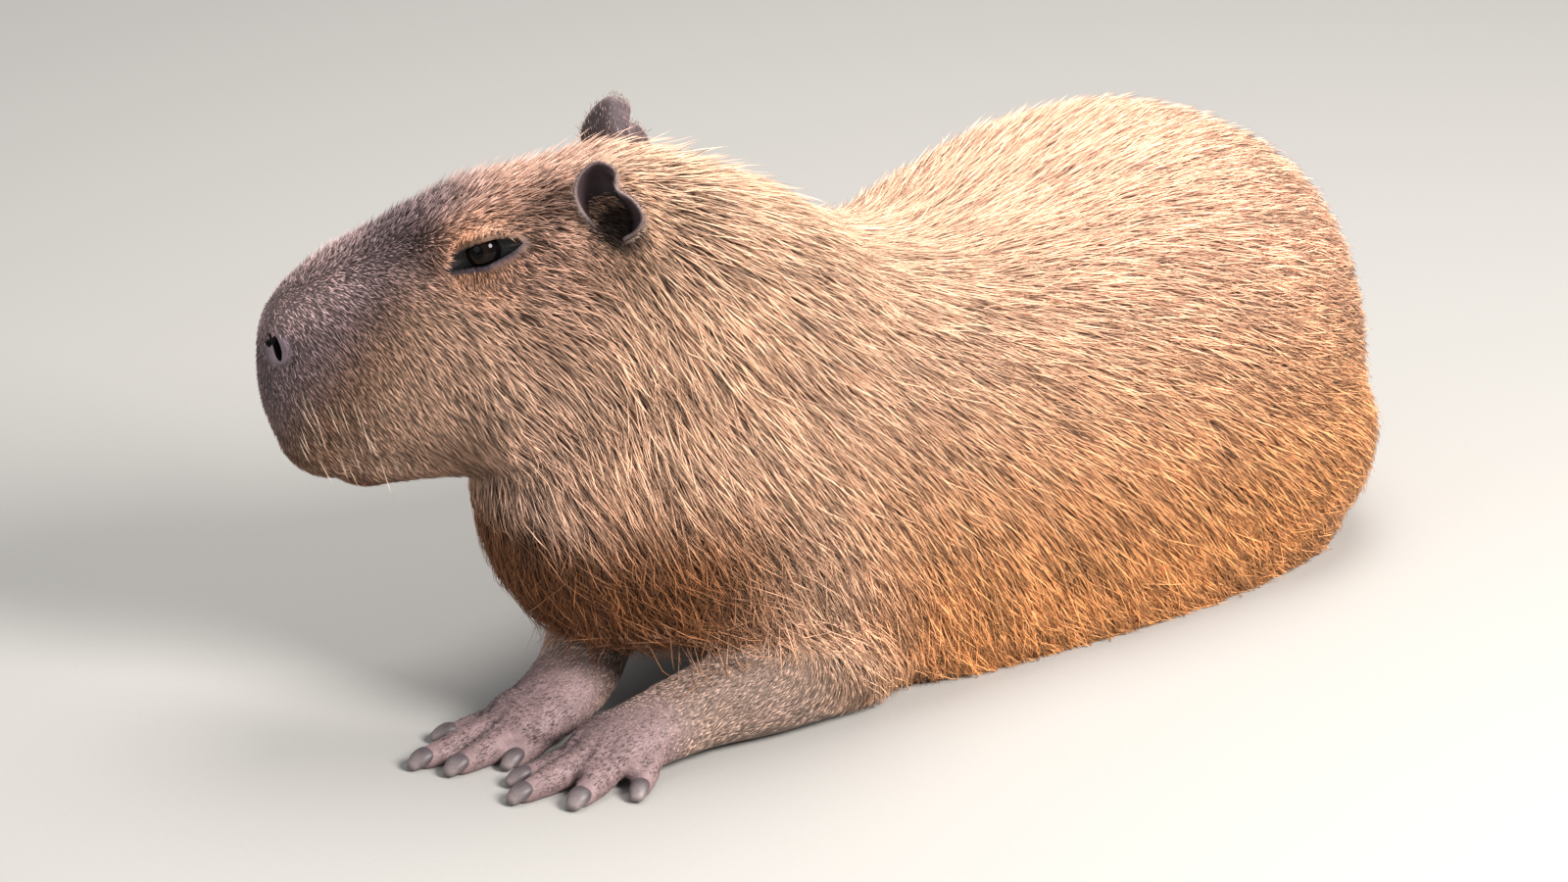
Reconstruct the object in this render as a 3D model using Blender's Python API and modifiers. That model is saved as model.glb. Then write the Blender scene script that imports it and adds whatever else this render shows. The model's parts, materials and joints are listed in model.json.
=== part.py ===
"""A life-size capybara at rest: forelegs stretched forward, hips rolled onto the left haunch, head turned
to the right. Units are metres and +Z is up. The trunk lies along X with the head at the -X end."""

import math

import bmesh
import bpy
import numpy as np
from mathutils import Matrix, Vector
from mathutils.bvhtree import BVHTree

# Driving dimensions of the animal.
RUMP_HEIGHT = 0.30
CROWN_HEIGHT = 0.391
HEAD_LENGTH = 0.240  # nose tip to the crown between the ears
HEAD_YAW = math.radians(41)  # how far the head is turned from the trunk's line
CROWN = Vector((0.063, -0.039, 0.0))  # the point of the floor under the crown
EYE_RADIUS = 0.0125
ORIGIN = Vector((0.3180, 0.0600, 0.0))  # the point of the floor under the middle of the whole animal
GAP = 0.0003  # what touching pieces keep between them
FINE = 0.003  # voxel of the fused body
BODY_TRIANGLES = 3800
COAT_DEPTH = 0.010  # how far the locks stand out beyond the core
LOCK_LENGTH = 0.100
LOCK_WIDTH = 0.040
LOCK_SPACING = 0.0535
RING_SIDES = 28

HEAD_FORWARD = Vector((-math.cos(HEAD_YAW), math.sin(HEAD_YAW), 0.0))
HEAD_LEFT = Vector((-math.sin(HEAD_YAW), -math.cos(HEAD_YAW), 0.0))
UP = Vector((0.0, 0.0, 1.0))


def head_point(forward, left, height):
    """A point given from the crown: forward along the head, left of its middle, and its height."""
    return CROWN + HEAD_FORWARD * forward + HEAD_LEFT * left + UP * height


def collection(name, shown=True):
    made = bpy.data.collections.new(name)
    bpy.context.scene.collection.children.link(made)
    made.hide_render = not shown
    return made


def mesh_object(name, points, faces, home):
    mesh = bpy.data.meshes.new(name)
    mesh.from_pydata([tuple(p) for p in points], [], faces)
    mesh.validate()
    obj = bpy.data.objects.new(name, mesh)
    home.objects.link(obj)
    return obj


def eased(keys, steps):
    """Rows of numbers through the key rows, on a smooth curve with no overshoot at the ends."""
    keys = np.array(keys, float)
    spans = np.linalg.norm(np.diff(keys[:, :3], axis=0), axis=1)
    at = np.r_[0.0, np.cumsum(np.maximum(spans, 1e-4))]
    slopes = np.gradient(keys, at, axis=0)
    rows = []
    for t in np.linspace(0.0, at[-1], steps):
        i = min(int(np.searchsorted(at, t, side="right")) - 1, len(at) - 2)
        h = at[i + 1] - at[i]
        u = (t - at[i]) / h
        rows.append(
            (1 + 2 * u) * (1 - u) ** 2 * keys[i]
            + u * (1 - u) ** 2 * h * slopes[i]
            + u * u * (3 - 2 * u) * keys[i + 1]
            + u * u * (u - 1) * h * slopes[i + 1]
        )
    return np.array(rows)


def power(value, exponent):
    return math.copysign(abs(value) ** (2.0 / exponent), value)


def loft(name, rings, home):
    """A closed skin over rings of equal point counts, with a pole at each end."""
    sides = len(rings[0])
    points = [p for ring in rings for p in ring]
    faces = []
    for r in range(len(rings) - 1):
        for k in range(sides):
            a, b = r * sides + k, r * sides + (k + 1) % sides
            faces.append((a, b, b + sides, a + sides))
    first, last = len(points), len(points) + 1
    points += [sum(rings[0], Vector()) / sides, sum(rings[-1], Vector()) / sides]
    top = (len(rings) - 1) * sides
    for k in range(sides):
        faces.append((first, (k + 1) % sides, k))
        faces.append((last, top + k, top + (k + 1) % sides))
    obj = mesh_object(name, points, faces, home)
    face_outwards(obj)
    return obj


def face_outwards(obj):
    shape = bmesh.new()
    shape.from_mesh(obj.data)
    bmesh.ops.recalc_face_normals(shape, faces=shape.faces)
    if shape.calc_volume(signed=True) < 0:
        bmesh.ops.reverse_faces(shape, faces=shape.faces)
    shape.to_mesh(obj.data)
    shape.free()


def body_loft(name, keys, home, steps=34):
    """Keys: x, y, bottom, top, half width, squareness, heading in degrees, narrowing towards the top."""
    rings = []
    for x, y, low, high, wide, square, heading, narrow in eased(keys, steps):
        turn = math.radians(heading)
        side = Vector((math.sin(turn), math.cos(turn), 0.0))
        middle, half = (low + high) / 2, (high - low) / 2
        ring = []
        for k in range(RING_SIDES):
            a = 2 * math.pi * k / RING_SIDES
            rise = power(math.sin(a), square)
            reach = power(math.cos(a), square) * (1 - narrow * rise)
            ring.append(Vector((x, y, middle + half * rise)) + side * (wide * reach))
        rings.append(ring)
    return loft(name, rings, home)


def head_loft(name, keys, home, steps=30):
    """Keys: forward, bottom, top, half width, squareness, narrowing towards the top."""
    rings = []
    for forward, low, high, wide, square, narrow in eased(keys, steps):
        middle, half = (low + high) / 2, (high - low) / 2
        ring = []
        for k in range(RING_SIDES):
            a = 2 * math.pi * k / RING_SIDES
            rise = power(math.sin(a), square)
            reach = power(math.cos(a), square) * (1 - narrow * rise)
            ring.append(head_point(forward, wide * reach, middle + half * rise))
        rings.append(ring)
    return loft(name, rings, home)


def limb(name, keys, home, steps=26, sides=16):
    """Keys: x, y, z, half width, half depth. The tube is rounded off at both ends."""
    rows = eased(keys, steps)
    path = [Vector(r[:3]) for r in rows]
    rings = []
    for i, (row, at) in enumerate(zip(rows, path)):
        ahead, behind = path[min(i + 1, steps - 1)], path[max(i - 1, 0)]
        along = (ahead - behind).normalized()
        side = along.cross(UP).normalized()
        rise = side.cross(along).normalized()
        ring = []
        for k in range(sides):
            a = 2 * math.pi * k / sides
            ring.append(at + side * (row[3] * math.cos(a)) + rise * (row[4] * math.sin(a)))
        rings.append(ring)
    for end, inward in ((0, 1), (-1, -2)):
        middle = sum(rings[end], Vector()) / sides
        out = (path[end] - path[inward]).normalized() * min(rows[end][3], rows[end][4])
        caps = []
        for share in (0.5, 0.85):
            fall = math.sqrt(1 - share * share)
            caps.append([middle + (p - middle) * fall + out * share for p in rings[end]])
        if end == 0:
            rings = caps[::-1] + rings
        else:
            rings = rings + caps
    return loft(name, rings, home)


def ellipsoid(name, centre, radii, home, forward=Vector((1, 0, 0)), segments=28):
    """A ball stretched along forward, sideways and up."""
    shape = bmesh.new()
    bmesh.ops.create_uvsphere(shape, u_segments=segments, v_segments=segments // 2, radius=1.0)
    along = Vector(forward).normalized()
    side = UP.cross(along).normalized()
    turn = Matrix((along, side, along.cross(side))).transposed().to_4x4()
    place = Matrix.Translation(centre) @ turn @ Matrix.Diagonal((*radii, 1.0))
    bmesh.ops.transform(shape, matrix=place, verts=shape.verts)
    mesh = bpy.data.meshes.new(name)
    shape.to_mesh(mesh)
    shape.free()
    obj = bpy.data.objects.new(name, mesh)
    home.objects.link(obj)
    return obj


def trunk(home):
    keys = [
        (0.752, 0.012, 0.050, 0.140, 0.025, 2.0, 0, 0.0),
        (0.737, 0.010, 0.000, 0.205, 0.085, 2.2, 0, 0.0),
        (0.700, 0.006, -0.060, 0.255, 0.140, 2.3, 0, 0.0),
        (0.630, 0.002, -0.095, 0.292, 0.182, 2.4, 0, 0.06),
        (0.540, -0.002, -0.105, RUMP_HEIGHT, 0.196, 2.4, 0, 0.08),
        (0.440, -0.010, -0.105, 0.288, 0.188, 2.4, 0, 0.08),
        (0.340, -0.022, -0.095, 0.280, 0.168, 2.3, 0, 0.10),
        (0.250, -0.040, -0.060, 0.306, 0.150, 2.2, 0, 0.12),
        (0.170, -0.052, 0.000, 0.332, 0.140, 2.2, 0, 0.14),
        (0.090, -0.056, 0.046, 0.318, 0.128, 2.1, 0, 0.12),
        (0.020, -0.050, 0.068, 0.262, 0.103, 2.0, 0, 0.05),
        (-0.018, -0.044, 0.095, 0.205, 0.060, 2.0, 0, 0.0),
        (-0.030, -0.042, 0.130, 0.170, 0.020, 2.0, 0, 0.0),
    ]
    return body_loft("trunk", keys, home, steps=44)


def neck(home):
    keys = [
        (0.245, -0.040, 0.140, 0.308, 0.090, 2.0, 0, 0.0),
        (0.190, -0.050, 0.110, 0.348, 0.116, 2.1, 0, 0.12),
        (0.140, -0.060, 0.105, 0.372, 0.116, 2.1, 14, 0.14),
        (0.100, -0.058, 0.115, 0.386, 0.102, 2.2, 28, 0.16),
        (0.063, -0.039, 0.135, CROWN_HEIGHT, 0.082, 2.3, 41, 0.16),
        (0.025, -0.006, 0.170, 0.380, 0.060, 2.2, 41, 0.12),
    ]
    return body_loft("neck_mass", keys, home, steps=26)


def skull(home):
    keys = [
        (-0.045, 0.200, 0.380, 0.060, 2.2, 0.12),
        (-0.020, 0.174, CROWN_HEIGHT - 0.002, 0.077, 2.4, 0.18),
        (0.020, 0.166, 0.389, 0.075, 2.5, 0.20),
        (0.060, 0.172, 0.377, 0.068, 2.6, 0.18),
        (0.100, 0.180, 0.364, 0.060, 2.7, 0.15),
        (0.135, 0.184, 0.350, 0.053, 2.8, 0.12),
        (0.165, 0.184, 0.333, 0.048, 2.9, 0.12),
        (0.190, 0.182, 0.317, 0.045, 2.9, 0.12),
        (0.210, 0.184, 0.303, 0.042, 2.8, 0.10),
        (0.225, 0.194, 0.292, 0.036, 2.6, 0.08),
        (0.235, 0.212, 0.278, 0.026, 2.3, 0.05),
        (HEAD_LENGTH, 0.232, 0.262, 0.010, 2.0, 0.0),
    ]
    return head_loft("skull", keys, home)


def jaw(home):
    keys = [
        (0.030, 0.180, 0.240, 0.040, 2.2, 0.0),
        (0.060, 0.170, 0.240, 0.048, 2.3, 0.0),
        (0.110, 0.168, 0.230, 0.044, 2.3, 0.0),
        (0.150, 0.164, 0.220, 0.036, 2.4, 0.0),
        (0.178, 0.160, 0.210, 0.028, 2.4, 0.0),
        (0.192, 0.164, 0.204, 0.022, 2.2, 0.0),
        (0.199, 0.176, 0.194, 0.010, 2.0, 0.0),
    ]
    return head_loft("jaw", keys, home, steps=20)


# Each forefoot: the wrist, then the toes from the inner to the outer one as root, tip and half width.
LEFT_FOREFOOT = [
    ((-0.026, -0.117), (-0.074, -0.110), 0.0080),
    ((-0.032, -0.128), (-0.090, -0.126), 0.0095),
    ((-0.026, -0.144), (-0.066, -0.158), 0.0095),
    ((-0.006, -0.155), (-0.028, -0.172), 0.0080),
]
RIGHT_FOREFOOT = [
    ((-0.024, -0.072), (-0.060, -0.080), 0.0080),
    ((-0.040, -0.064), (-0.094, -0.064), 0.0100),
    ((-0.042, -0.048), (-0.106, -0.041), 0.0095),
    ((-0.028, -0.036), (-0.068, -0.018), 0.0080),
]
LEFT_HINDFOOT = [
    ((0.322, 0.220), (0.268, 0.212), 0.0105),
    ((0.318, 0.238), (0.254, 0.240), 0.0120),
    ((0.324, 0.256), (0.270, 0.268), 0.0105),
]
RIGHT_HINDFOOT = [
    ((0.502, 0.274), (0.450, 0.264), 0.0105),
    ((0.498, 0.292), (0.436, 0.292), 0.0120),
    ((0.504, 0.310), (0.452, 0.320), 0.0105),
]


def toes(name, rows, home):
    for i, (root, tip, wide) in enumerate(rows):
        x, y = root
        end_x, end_y = tip
        limb(f"{name}_{i}", [
            (x + (x - end_x) * 0.4, y + (y - end_y) * 0.4, 0.020, wide * 0.9, wide * 0.9),
            (x, y, 0.016, wide, wide),
            (x * 0.5 + end_x * 0.5, y * 0.5 + end_y * 0.5, wide * 0.95, wide, wide),
            (end_x, end_y, wide * 0.55, wide * 0.75, wide * 0.7),
        ], home, steps=10, sides=12)


def evaluated(obj):
    """Bakes an object's modifiers into its mesh."""
    depsgraph = bpy.context.evaluated_depsgraph_get()
    mesh = bpy.data.meshes.new_from_object(obj.evaluated_get(depsgraph))
    old = obj.data
    obj.modifiers.clear()
    obj.data = mesh
    bpy.data.meshes.remove(old)
    mesh.name = obj.name


def boolean(obj, cutter, operation, solver="MANIFOLD"):
    modifier = obj.modifiers.new("cut", "BOOLEAN")
    modifier.operation = operation
    modifier.solver = solver
    modifier.object = cutter
    evaluated(obj)


def copied(obj, name, home):
    made = bpy.data.objects.new(name, obj.data.copy())
    made.matrix_world = obj.matrix_world.copy()
    home.objects.link(made)
    return made


def removed(obj):
    mesh = obj.data
    bpy.data.objects.remove(obj)
    bpy.data.meshes.remove(mesh)


def fused(name, parts, home):
    """One skin over overlapping closed forms, softened where trunk, neck and limbs meet."""
    shape = bmesh.new()
    for part in parts:
        shape.from_mesh(part.data)
        removed(part)
    mesh = bpy.data.meshes.new(name)
    shape.to_mesh(mesh)
    shape.free()
    obj = bpy.data.objects.new(name, mesh)
    home.objects.link(obj)
    remesh = obj.modifiers.new("skin", "REMESH")
    remesh.mode = "VOXEL"
    remesh.voxel_size = FINE
    evaluated(obj)
    return obj


def ramp(value, low, high):
    t = min(max((value - low) / (high - low), 0.0), 1.0)
    return t * t * (3 - 2 * t)


def looseness(point):
    """1 on the trunk, neck and haunches, falling to 0 on the face and the feet."""
    forward = (point - CROWN).dot(HEAD_FORWARD)
    face = ramp(forward, 0.0, 0.05) * ramp(point.z, 0.13, 0.16)
    fore_foot = ramp(-point.x, -0.06, -0.02) * ramp(-point.z, -0.08, -0.05)
    hind_foot = ramp(point.y, 0.19, 0.215) * ramp(-point.z, -0.08, -0.05)
    return 1.0 - max(0.75 * face, fore_foot, hind_foot)


def softened(obj, rounds, weight):
    group = obj.vertex_groups.new(name="soft")
    for v in obj.data.vertices:
        group.add([v.index], weight(v.co), "REPLACE")
    smooth = obj.modifiers.new("soft", "SMOOTH")
    smooth.factor = 0.5
    smooth.iterations = rounds
    smooth.vertex_group = "soft"
    evaluated(obj)
    obj.vertex_groups.clear()


def thinned(obj, triangles, weight):
    """Fewer triangles, more of them left where the weight is high."""
    group = obj.vertex_groups.new(name="keep")
    for v in obj.data.vertices:
        group.add([v.index], weight(v.co), "REPLACE")
    decimate = obj.modifiers.new("thin", "DECIMATE")
    decimate.ratio = triangles / sum(len(p.vertices) - 2 for p in obj.data.polygons)
    decimate.use_collapse_triangulate = True
    decimate.vertex_group = "keep"
    decimate.invert_vertex_group = True
    decimate.vertex_group_factor = 0.5
    evaluated(obj)
    obj.vertex_groups.clear()


def coat(point):
    """How long the coat is at a point, against the flank's: nothing on the face, the legs and the feet."""
    forward = (point - CROWN).dot(HEAD_FORWARD)
    cheek = ramp(-forward, -0.075, -0.020) if point.z > 0.15 else 1.0
    ear_gap = 1.0
    for side in (-1, 1):
        ear_gap = min(ear_gap, ramp((point - head_point(0.002, side * 0.055, 0.375)).length, 0.028, 0.055))
    legs = 1.0
    if point.z < 0.095 and point.x < 0.23:
        legs = ramp(point.x + 0.8 * point.z, 0.185, 0.24) if point.y < -0.09 else ramp(point.z, 0.07, 0.09)
    hind_leg = 1.0 - ramp(point.y, 0.13, 0.165) * ramp(-point.z, -0.12, -0.09) * ramp(point.x, 0.18, 0.26)
    return cheek * ear_gap * legs * hind_leg


def lie(point, normal):
    """The way the coat lies: back from the nose, down over cheek, shoulder and flank, out over the rump."""
    forward = (point - CROWN).dot(HEAD_FORWARD)
    on_head = ramp(forward, -0.03, 0.05) * ramp(point.z, 0.12, 0.17)
    fall = 1.45 - 0.75 * ramp(point.x, 0.12, 0.45) - 0.50 * ramp(point.x, 0.45, 0.68)
    body = Vector((1.0, 0.0, -fall)).normalized()
    face = (-HEAD_FORWARD - UP * (0.25 + 0.75 * ramp(-point.z, -0.34, -0.25))).normalized()
    way = body.lerp(face, on_head)
    way -= normal * way.dot(normal)
    return way.normalized() if way.length > 1e-4 else Vector((0.0, 0.0, -1.0))


def grow_lock(tree, start, normal, size, turn, home):
    """A flat, tapered lock that follows the surface from a sunk root and lifts off it towards its tip."""
    stations = [(0.0, -0.0075, 0.60), (0.30, -0.0005, 1.0), (0.68, 0.45 * COAT_DEPTH, 0.78)]
    steps = 10
    step = LOCK_LENGTH * size / steps
    path = [(start, normal)]
    way = Matrix.Rotation(turn, 3, normal) @ lie(start, normal)
    for i in range(steps):
        at, up = path[-1]
        ahead = at + way * step
        near, near_up = tree.find_nearest(ahead)[:2]
        free = 0.15 + 0.5 * i / steps
        place = near.lerp(ahead, free) if (ahead - near).dot(near_up) > 0 else near
        path.append((place, near_up))
        want = Matrix.Rotation(turn, 3, near_up) @ lie(near, near_up)
        way = way.lerp(want, 0.45).normalized()
    rings = []
    wide, thick = LOCK_WIDTH * (0.55 + 0.45 * size) / 2, 0.0042
    for share, rise, half in stations:
        i = share * steps
        at, up = path[int(i)]
        after = path[min(int(i) + 1, steps)][0]
        along = (after - at).normalized()
        side = along.cross(up).normalized()
        up = side.cross(along).normalized()
        centre = at.lerp(after, i - int(i)) + up * rise
        rings.append([centre - side * wide * half, centre + up * thick * half, centre + side * wide * half])
    end, up = path[-1]
    tip = end + up * COAT_DEPTH * (0.55 + 0.45 * size)
    points = [p for ring in rings for p in ring] + [tip]
    faces = [(0, 1, 2), (8, 7, 9), (7, 6, 9), (6, 8, 9)]
    for r in (0, 3):
        for k in range(3):
            a, b = r + k, r + (k + 1) % 3
            faces.append((a, a + 3, b + 3, b))
    obj = mesh_object("lock", points, faces, home)
    face_outwards(obj)
    return obj


def scattered(obj, spacing, seed):
    """Evenly spread points over a mesh, as place and normal, the same ones each run."""
    chance = np.random.RandomState(seed)
    shape = bmesh.new()
    shape.from_mesh(obj.data)
    bmesh.ops.triangulate(shape, faces=shape.faces[:])
    faces = shape.faces[:]
    areas = np.array([f.calc_area() for f in faces])
    picks = chance.choice(len(faces), size=9000, p=areas / areas.sum())
    kept = []
    for pick in picks:
        a, b, c = (v.co for v in faces[pick].verts)
        u, v = chance.rand(2)
        if u + v > 1:
            u, v = 1 - u, 1 - v
        place = a + (b - a) * u + (c - a) * v
        size = coat(place)
        normal = faces[pick].normal.copy()
        if size < 0.30 or place.z < 0.012 or (normal.z < -0.45 and place.z < 0.10) or place.x > 0.742:
            continue
        near = spacing * (0.45 + 0.55 * size)
        if all((place - other).length > near for other, _, _ in kept):
            kept.append((place.copy(), normal, size))
    shape.free()
    return kept


def with_locks(body):
    """Sinks the core by half the coat's depth and joins the locks to it."""
    for v, normal in [(v, v.normal.copy()) for v in body.data.vertices]:
        v.co -= normal * 0.5 * COAT_DEPTH * coat(v.co)
    shape = bmesh.new()
    shape.from_mesh(body.data)
    tree = BVHTree.FromBMesh(shape)
    shape.free()
    chance = np.random.RandomState(7)
    locks = collection("locks", shown=False)
    for place, normal, size in scattered(body, LOCK_SPACING, 8):
        size *= 0.88 + 0.24 * chance.rand()
        grow_lock(tree, place, normal, size, math.radians(9) * chance.randn(), locks)
    union = body.modifiers.new("locks", "BOOLEAN")
    union.operation = "UNION"
    union.solver = "MANIFOLD"
    union.operand_type = "COLLECTION"
    union.collection = locks
    evaluated(body)
    for lock in list(locks.objects):
        removed(lock)
    bpy.data.collections.remove(locks)
    largest_piece(body)


def cut_at_floor(obj, cutters):
    """Leaves a flat at floor level wherever the form would reach below it."""
    ground = box("ground", (-1.0, -1.0, -0.5), (1.5, 1.0, 0.0), cutters)
    boolean(obj, ground, "DIFFERENCE")
    removed(ground)


def largest_piece(obj):
    """Keeps the largest closed surface of a mesh."""
    shape = bmesh.new()
    shape.from_mesh(obj.data)
    left = set(shape.verts)
    shells = []
    while left:
        todo = [left.pop()]
        shell = list(todo)
        while todo:
            for edge in todo.pop().link_edges:
                for v in edge.verts:
                    if v in left:
                        left.remove(v)
                        todo.append(v)
                        shell.append(v)
        shells.append(shell)
    shells.sort(key=len)
    loose = [v for shell in shells[:-1] for v in shell]
    bmesh.ops.delete(shape, geom=loose, context="VERTS")
    shape.to_mesh(obj.data)
    shape.free()


def box(name, low, high, home, turn=None, grow=0.0):
    """A box between two corners, turned about the world's origin or by a full matrix."""
    shape = bmesh.new()
    bmesh.ops.create_cube(shape, size=1.0)
    low = Vector(low) - Vector((grow,) * 3)
    high = Vector(high) + Vector((grow,) * 3)
    place = Matrix.Translation((low + high) / 2) @ Matrix.Diagonal((*(high - low), 1.0))
    bmesh.ops.transform(shape, matrix=(turn or Matrix()) @ place, verts=shape.verts)
    mesh = bpy.data.meshes.new(name)
    shape.to_mesh(mesh)
    shape.free()
    obj = bpy.data.objects.new(name, mesh)
    obj.display_type = "WIRE"
    obj.hide_render = True
    home.objects.link(obj)
    return obj


def aimed(origin, direction):
    """A frame at a point with its X along a direction and its Y level."""
    along = direction.normalized()
    side = UP.cross(along).normalized()
    turn = Matrix((along, side, along.cross(side))).transposed().to_4x4()
    return Matrix.Translation(origin) @ turn


def parted(body, name, low, high, home, cutters, turn=None):
    """Takes what lies in a box off the body as a node of its own, with a thin gap left between."""
    piece = copied(body, name, home)
    inner = box(name + "_region", low, high, cutters, turn)
    boolean(piece, inner, "INTERSECT")
    largest_piece(piece)
    outer = box(name + "_gap", low, high, cutters, turn, grow=GAP)
    boolean(body, outer, "DIFFERENCE")
    largest_piece(body)
    removed(inner)
    removed(outer)
    return piece


def paint(obj, name, colour, roughness):
    material = bpy.data.materials.get(name)
    if material is None:
        material = bpy.data.materials.new(name)
        material.use_nodes = True
        shader = material.node_tree.nodes["Principled BSDF"]
        shader.inputs["Base Color"].default_value = (*colour, 1.0)
        shader.inputs["Roughness"].default_value = roughness
        shader.inputs["Metallic"].default_value = 0.0
    obj.data.materials.clear()
    obj.data.materials.append(material)


def head_frame(lean=0.0):
    """The head's own axes: X forward, Y to its left, Z up, leaned forward about the left axis."""
    turn = Matrix((HEAD_FORWARD, HEAD_LEFT, UP)).transposed().to_4x4()
    return Matrix.Translation(CROWN) @ turn @ Matrix.Rotation(lean, 4, "Y")


EYE = (0.082, 0.0465, 0.3445)  # centre of the left eye: forward, left, height
EYE_FRONT = (0.1075, 0.334)  # forward and height of the corners of the lids
EYE_REAR = (0.0590, 0.3525)
LID_RISE = 0.0085
LID_DROP = 0.0075


def lid_line(side, rise, steps=9):
    """Points along the edge of one lid, lying on the eyeball where it covers it."""
    points = []
    for i in range(steps):
        t = i / (steps - 1)
        forward = EYE_FRONT[0] * (1 - t) + EYE_REAR[0] * t
        height = EYE_FRONT[1] * (1 - t) + EYE_REAR[1] * t + rise * math.sin(math.pi * t) ** 0.8
        off = math.hypot(forward - EYE[0], height - EYE[2])
        ball = math.sqrt(max((EYE_RADIUS + 0.001) ** 2 - off * off, 0.0))
        left = EYE[1] + max(ball, 0.0075 - 0.05 * (forward - EYE[0]))
        points.append((forward, left * side, height))
    return points


def eye_details(head, side, home, cutters):
    """Lids round an almond opening, with a socket behind it for the eyeball."""
    for rise, thick in ((LID_RISE, 0.0034), (-LID_DROP, 0.0026)):
        keys = []
        line = lid_line(side, rise)
        for i, (forward, left, height) in enumerate(line):
            t = i / (len(line) - 1)
            swell = 0.35 + 0.65 * math.sin(math.pi * t)
            away = math.copysign(thick * 0.7, rise)
            keys.append((*head_point(forward, left, height + away), thick * swell, thick * swell))
        lid = limb("lid", keys, cutters, steps=10, sides=7)
        boolean(head, lid, "UNION")
        removed(lid)
    outline = [(f, h) for f, _, h in lid_line(side, LID_RISE)]
    outline += [(f, h) for f, _, h in lid_line(side, -LID_DROP)][-2:0:-1]
    near, far = EYE[1] + 0.0045, EYE[1] + 0.030
    rings = [[head_point(f, side * left, h) for f, h in outline] for left in (near, far)]
    opening = loft("opening", rings, cutters)
    boolean(head, opening, "DIFFERENCE")
    removed(opening)
    centre = head_point(EYE[0], side * EYE[1], EYE[2])
    socket = ellipsoid("socket", centre, (EYE_RADIUS + GAP,) * 3, cutters, HEAD_FORWARD, 18)
    boolean(head, socket, "DIFFERENCE")
    removed(socket)
    return ellipsoid("eye", centre, (EYE_RADIUS,) * 3, home, HEAD_FORWARD, 18)


def nose_details(head, cutters):
    for side in (-1, 1):
        turned = (HEAD_FORWARD * 0.62 + HEAD_LEFT * (0.78 * side)).normalized()
        rim = ellipsoid("rim", head_point(0.2210, side * 0.0275, 0.2610), (0.0060, 0.0095, 0.0120), cutters, turned, 14)
        boolean(head, rim, "UNION")
        removed(rim)
        pit = ellipsoid("pit", head_point(0.2235, side * 0.0325, 0.2610), (0.0110, 0.0052, 0.0072), cutters, turned, 14)
        boolean(head, pit, "DIFFERENCE")
        removed(pit)
    slit = box("mouth", (0.0, -0.08, -0.0012), (0.110, 0.08, 0.0012), cutters,
               head_frame() @ Matrix.Translation((0.136, 0.0, 0.1960)) @ Matrix.Rotation(math.radians(22), 4, "Y"))
    boolean(head, slit, "DIFFERENCE")
    removed(slit)
    groove = ellipsoid("philtrum", head_point(0.2400, 0.0, 0.208), (0.0050, 0.0018, 0.034), cutters, HEAD_FORWARD, 10)
    boolean(head, groove, "DIFFERENCE")
    removed(groove)


# The rim of the left ear from its front root over the top to its rear root, as forward, left and height.
EAR_RIM = [
    (0.012, 0.058, 0.361),
    (0.022, 0.063, 0.374),
    (0.025, 0.066, 0.387),
    (0.021, 0.068, 0.402),
    (0.009, 0.067, 0.4105),
    (-0.003, 0.068, 0.404),
    (-0.006, 0.070, 0.392),
    (-0.016, 0.075, 0.386),
    (-0.023, 0.076, 0.374),
    (-0.019, 0.071, 0.363),
    (-0.009, 0.064, 0.354),
]
# Where the same lines of the ear meet the head.
EAR_ROOT = [
    (0.004, 0.053, 0.352),
    (0.010, 0.048, 0.360),
    (0.012, 0.045, 0.366),
    (0.009, 0.043, 0.370),
    (0.004, 0.041, 0.372),
    (-0.002, 0.041, 0.371),
    (-0.007, 0.043, 0.368),
    (-0.011, 0.047, 0.363),
    (-0.013, 0.052, 0.357),
    (-0.010, 0.055, 0.352),
    (-0.003, 0.055, 0.350),
]
EAR_DEPTH = 0.010  # how far the cup bellies in towards the crown
EAR_THICKNESS = 0.0030


def ear(side, home):
    """A cupped shell between a curved root and a rolled rim."""
    across, up = 15, 6
    rim, root = eased(EAR_RIM, across), eased(EAR_ROOT, across)
    grid = []
    for j in range(up):
        v = -0.15 + 1.15 * j / (up - 1)
        row = []
        for i in range(across):
            spot = root[i] + (rim[i] - root[i]) * v
            spot[1] -= EAR_DEPTH * math.sin(math.pi * max(v, 0.0)) * math.sin(math.pi * i / (across - 1))
            row.append(head_point(spot[0], side * spot[1], spot[2]))
        grid.append(row)
    points, faces = [], []
    for row in grid:
        points += row
    for j in range(up - 1):
        for i in range(across - 1):
            a = j * across + i
            faces.append((a, a + 1, a + across + 1, a + across))
    obj = mesh_object("ear", points, faces, home)
    solidify = obj.modifiers.new("shell", "SOLIDIFY")
    solidify.thickness = EAR_THICKNESS
    solidify.offset = 0.0
    evaluated(obj)
    face_outwards(obj)
    return obj


def grown(obj, distance, cutters):
    """A copy with every point pushed out along its normal."""
    made = copied(obj, obj.name + "_grown", cutters)
    normals = [v.normal.copy() for v in made.data.vertices]
    for v, normal in zip(made.data.vertices, normals):
        v.co += normal * distance
    return made


def claw(name, root, tip, wide, home):
    """A blunt hoof-like nail over the end of a toe."""
    along = Vector((tip[0] - root[0], tip[1] - root[1], 0.0)).normalized()
    start = Vector((*tip, 0.0)) - along * 0.006
    keys = []
    for reach, height, half, deep in (
            (0.000, 0.0085, 0.42, 0.40), (0.006, 0.0095, 0.62, 0.55),
            (0.012, 0.0070, 0.58, 0.50), (0.018, 0.0040, 0.30, 0.30)):
        keys.append((*(start + along * reach + UP * height), wide * half, wide * deep))
    return limb(name, keys, home, steps=3, sides=6)


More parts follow.
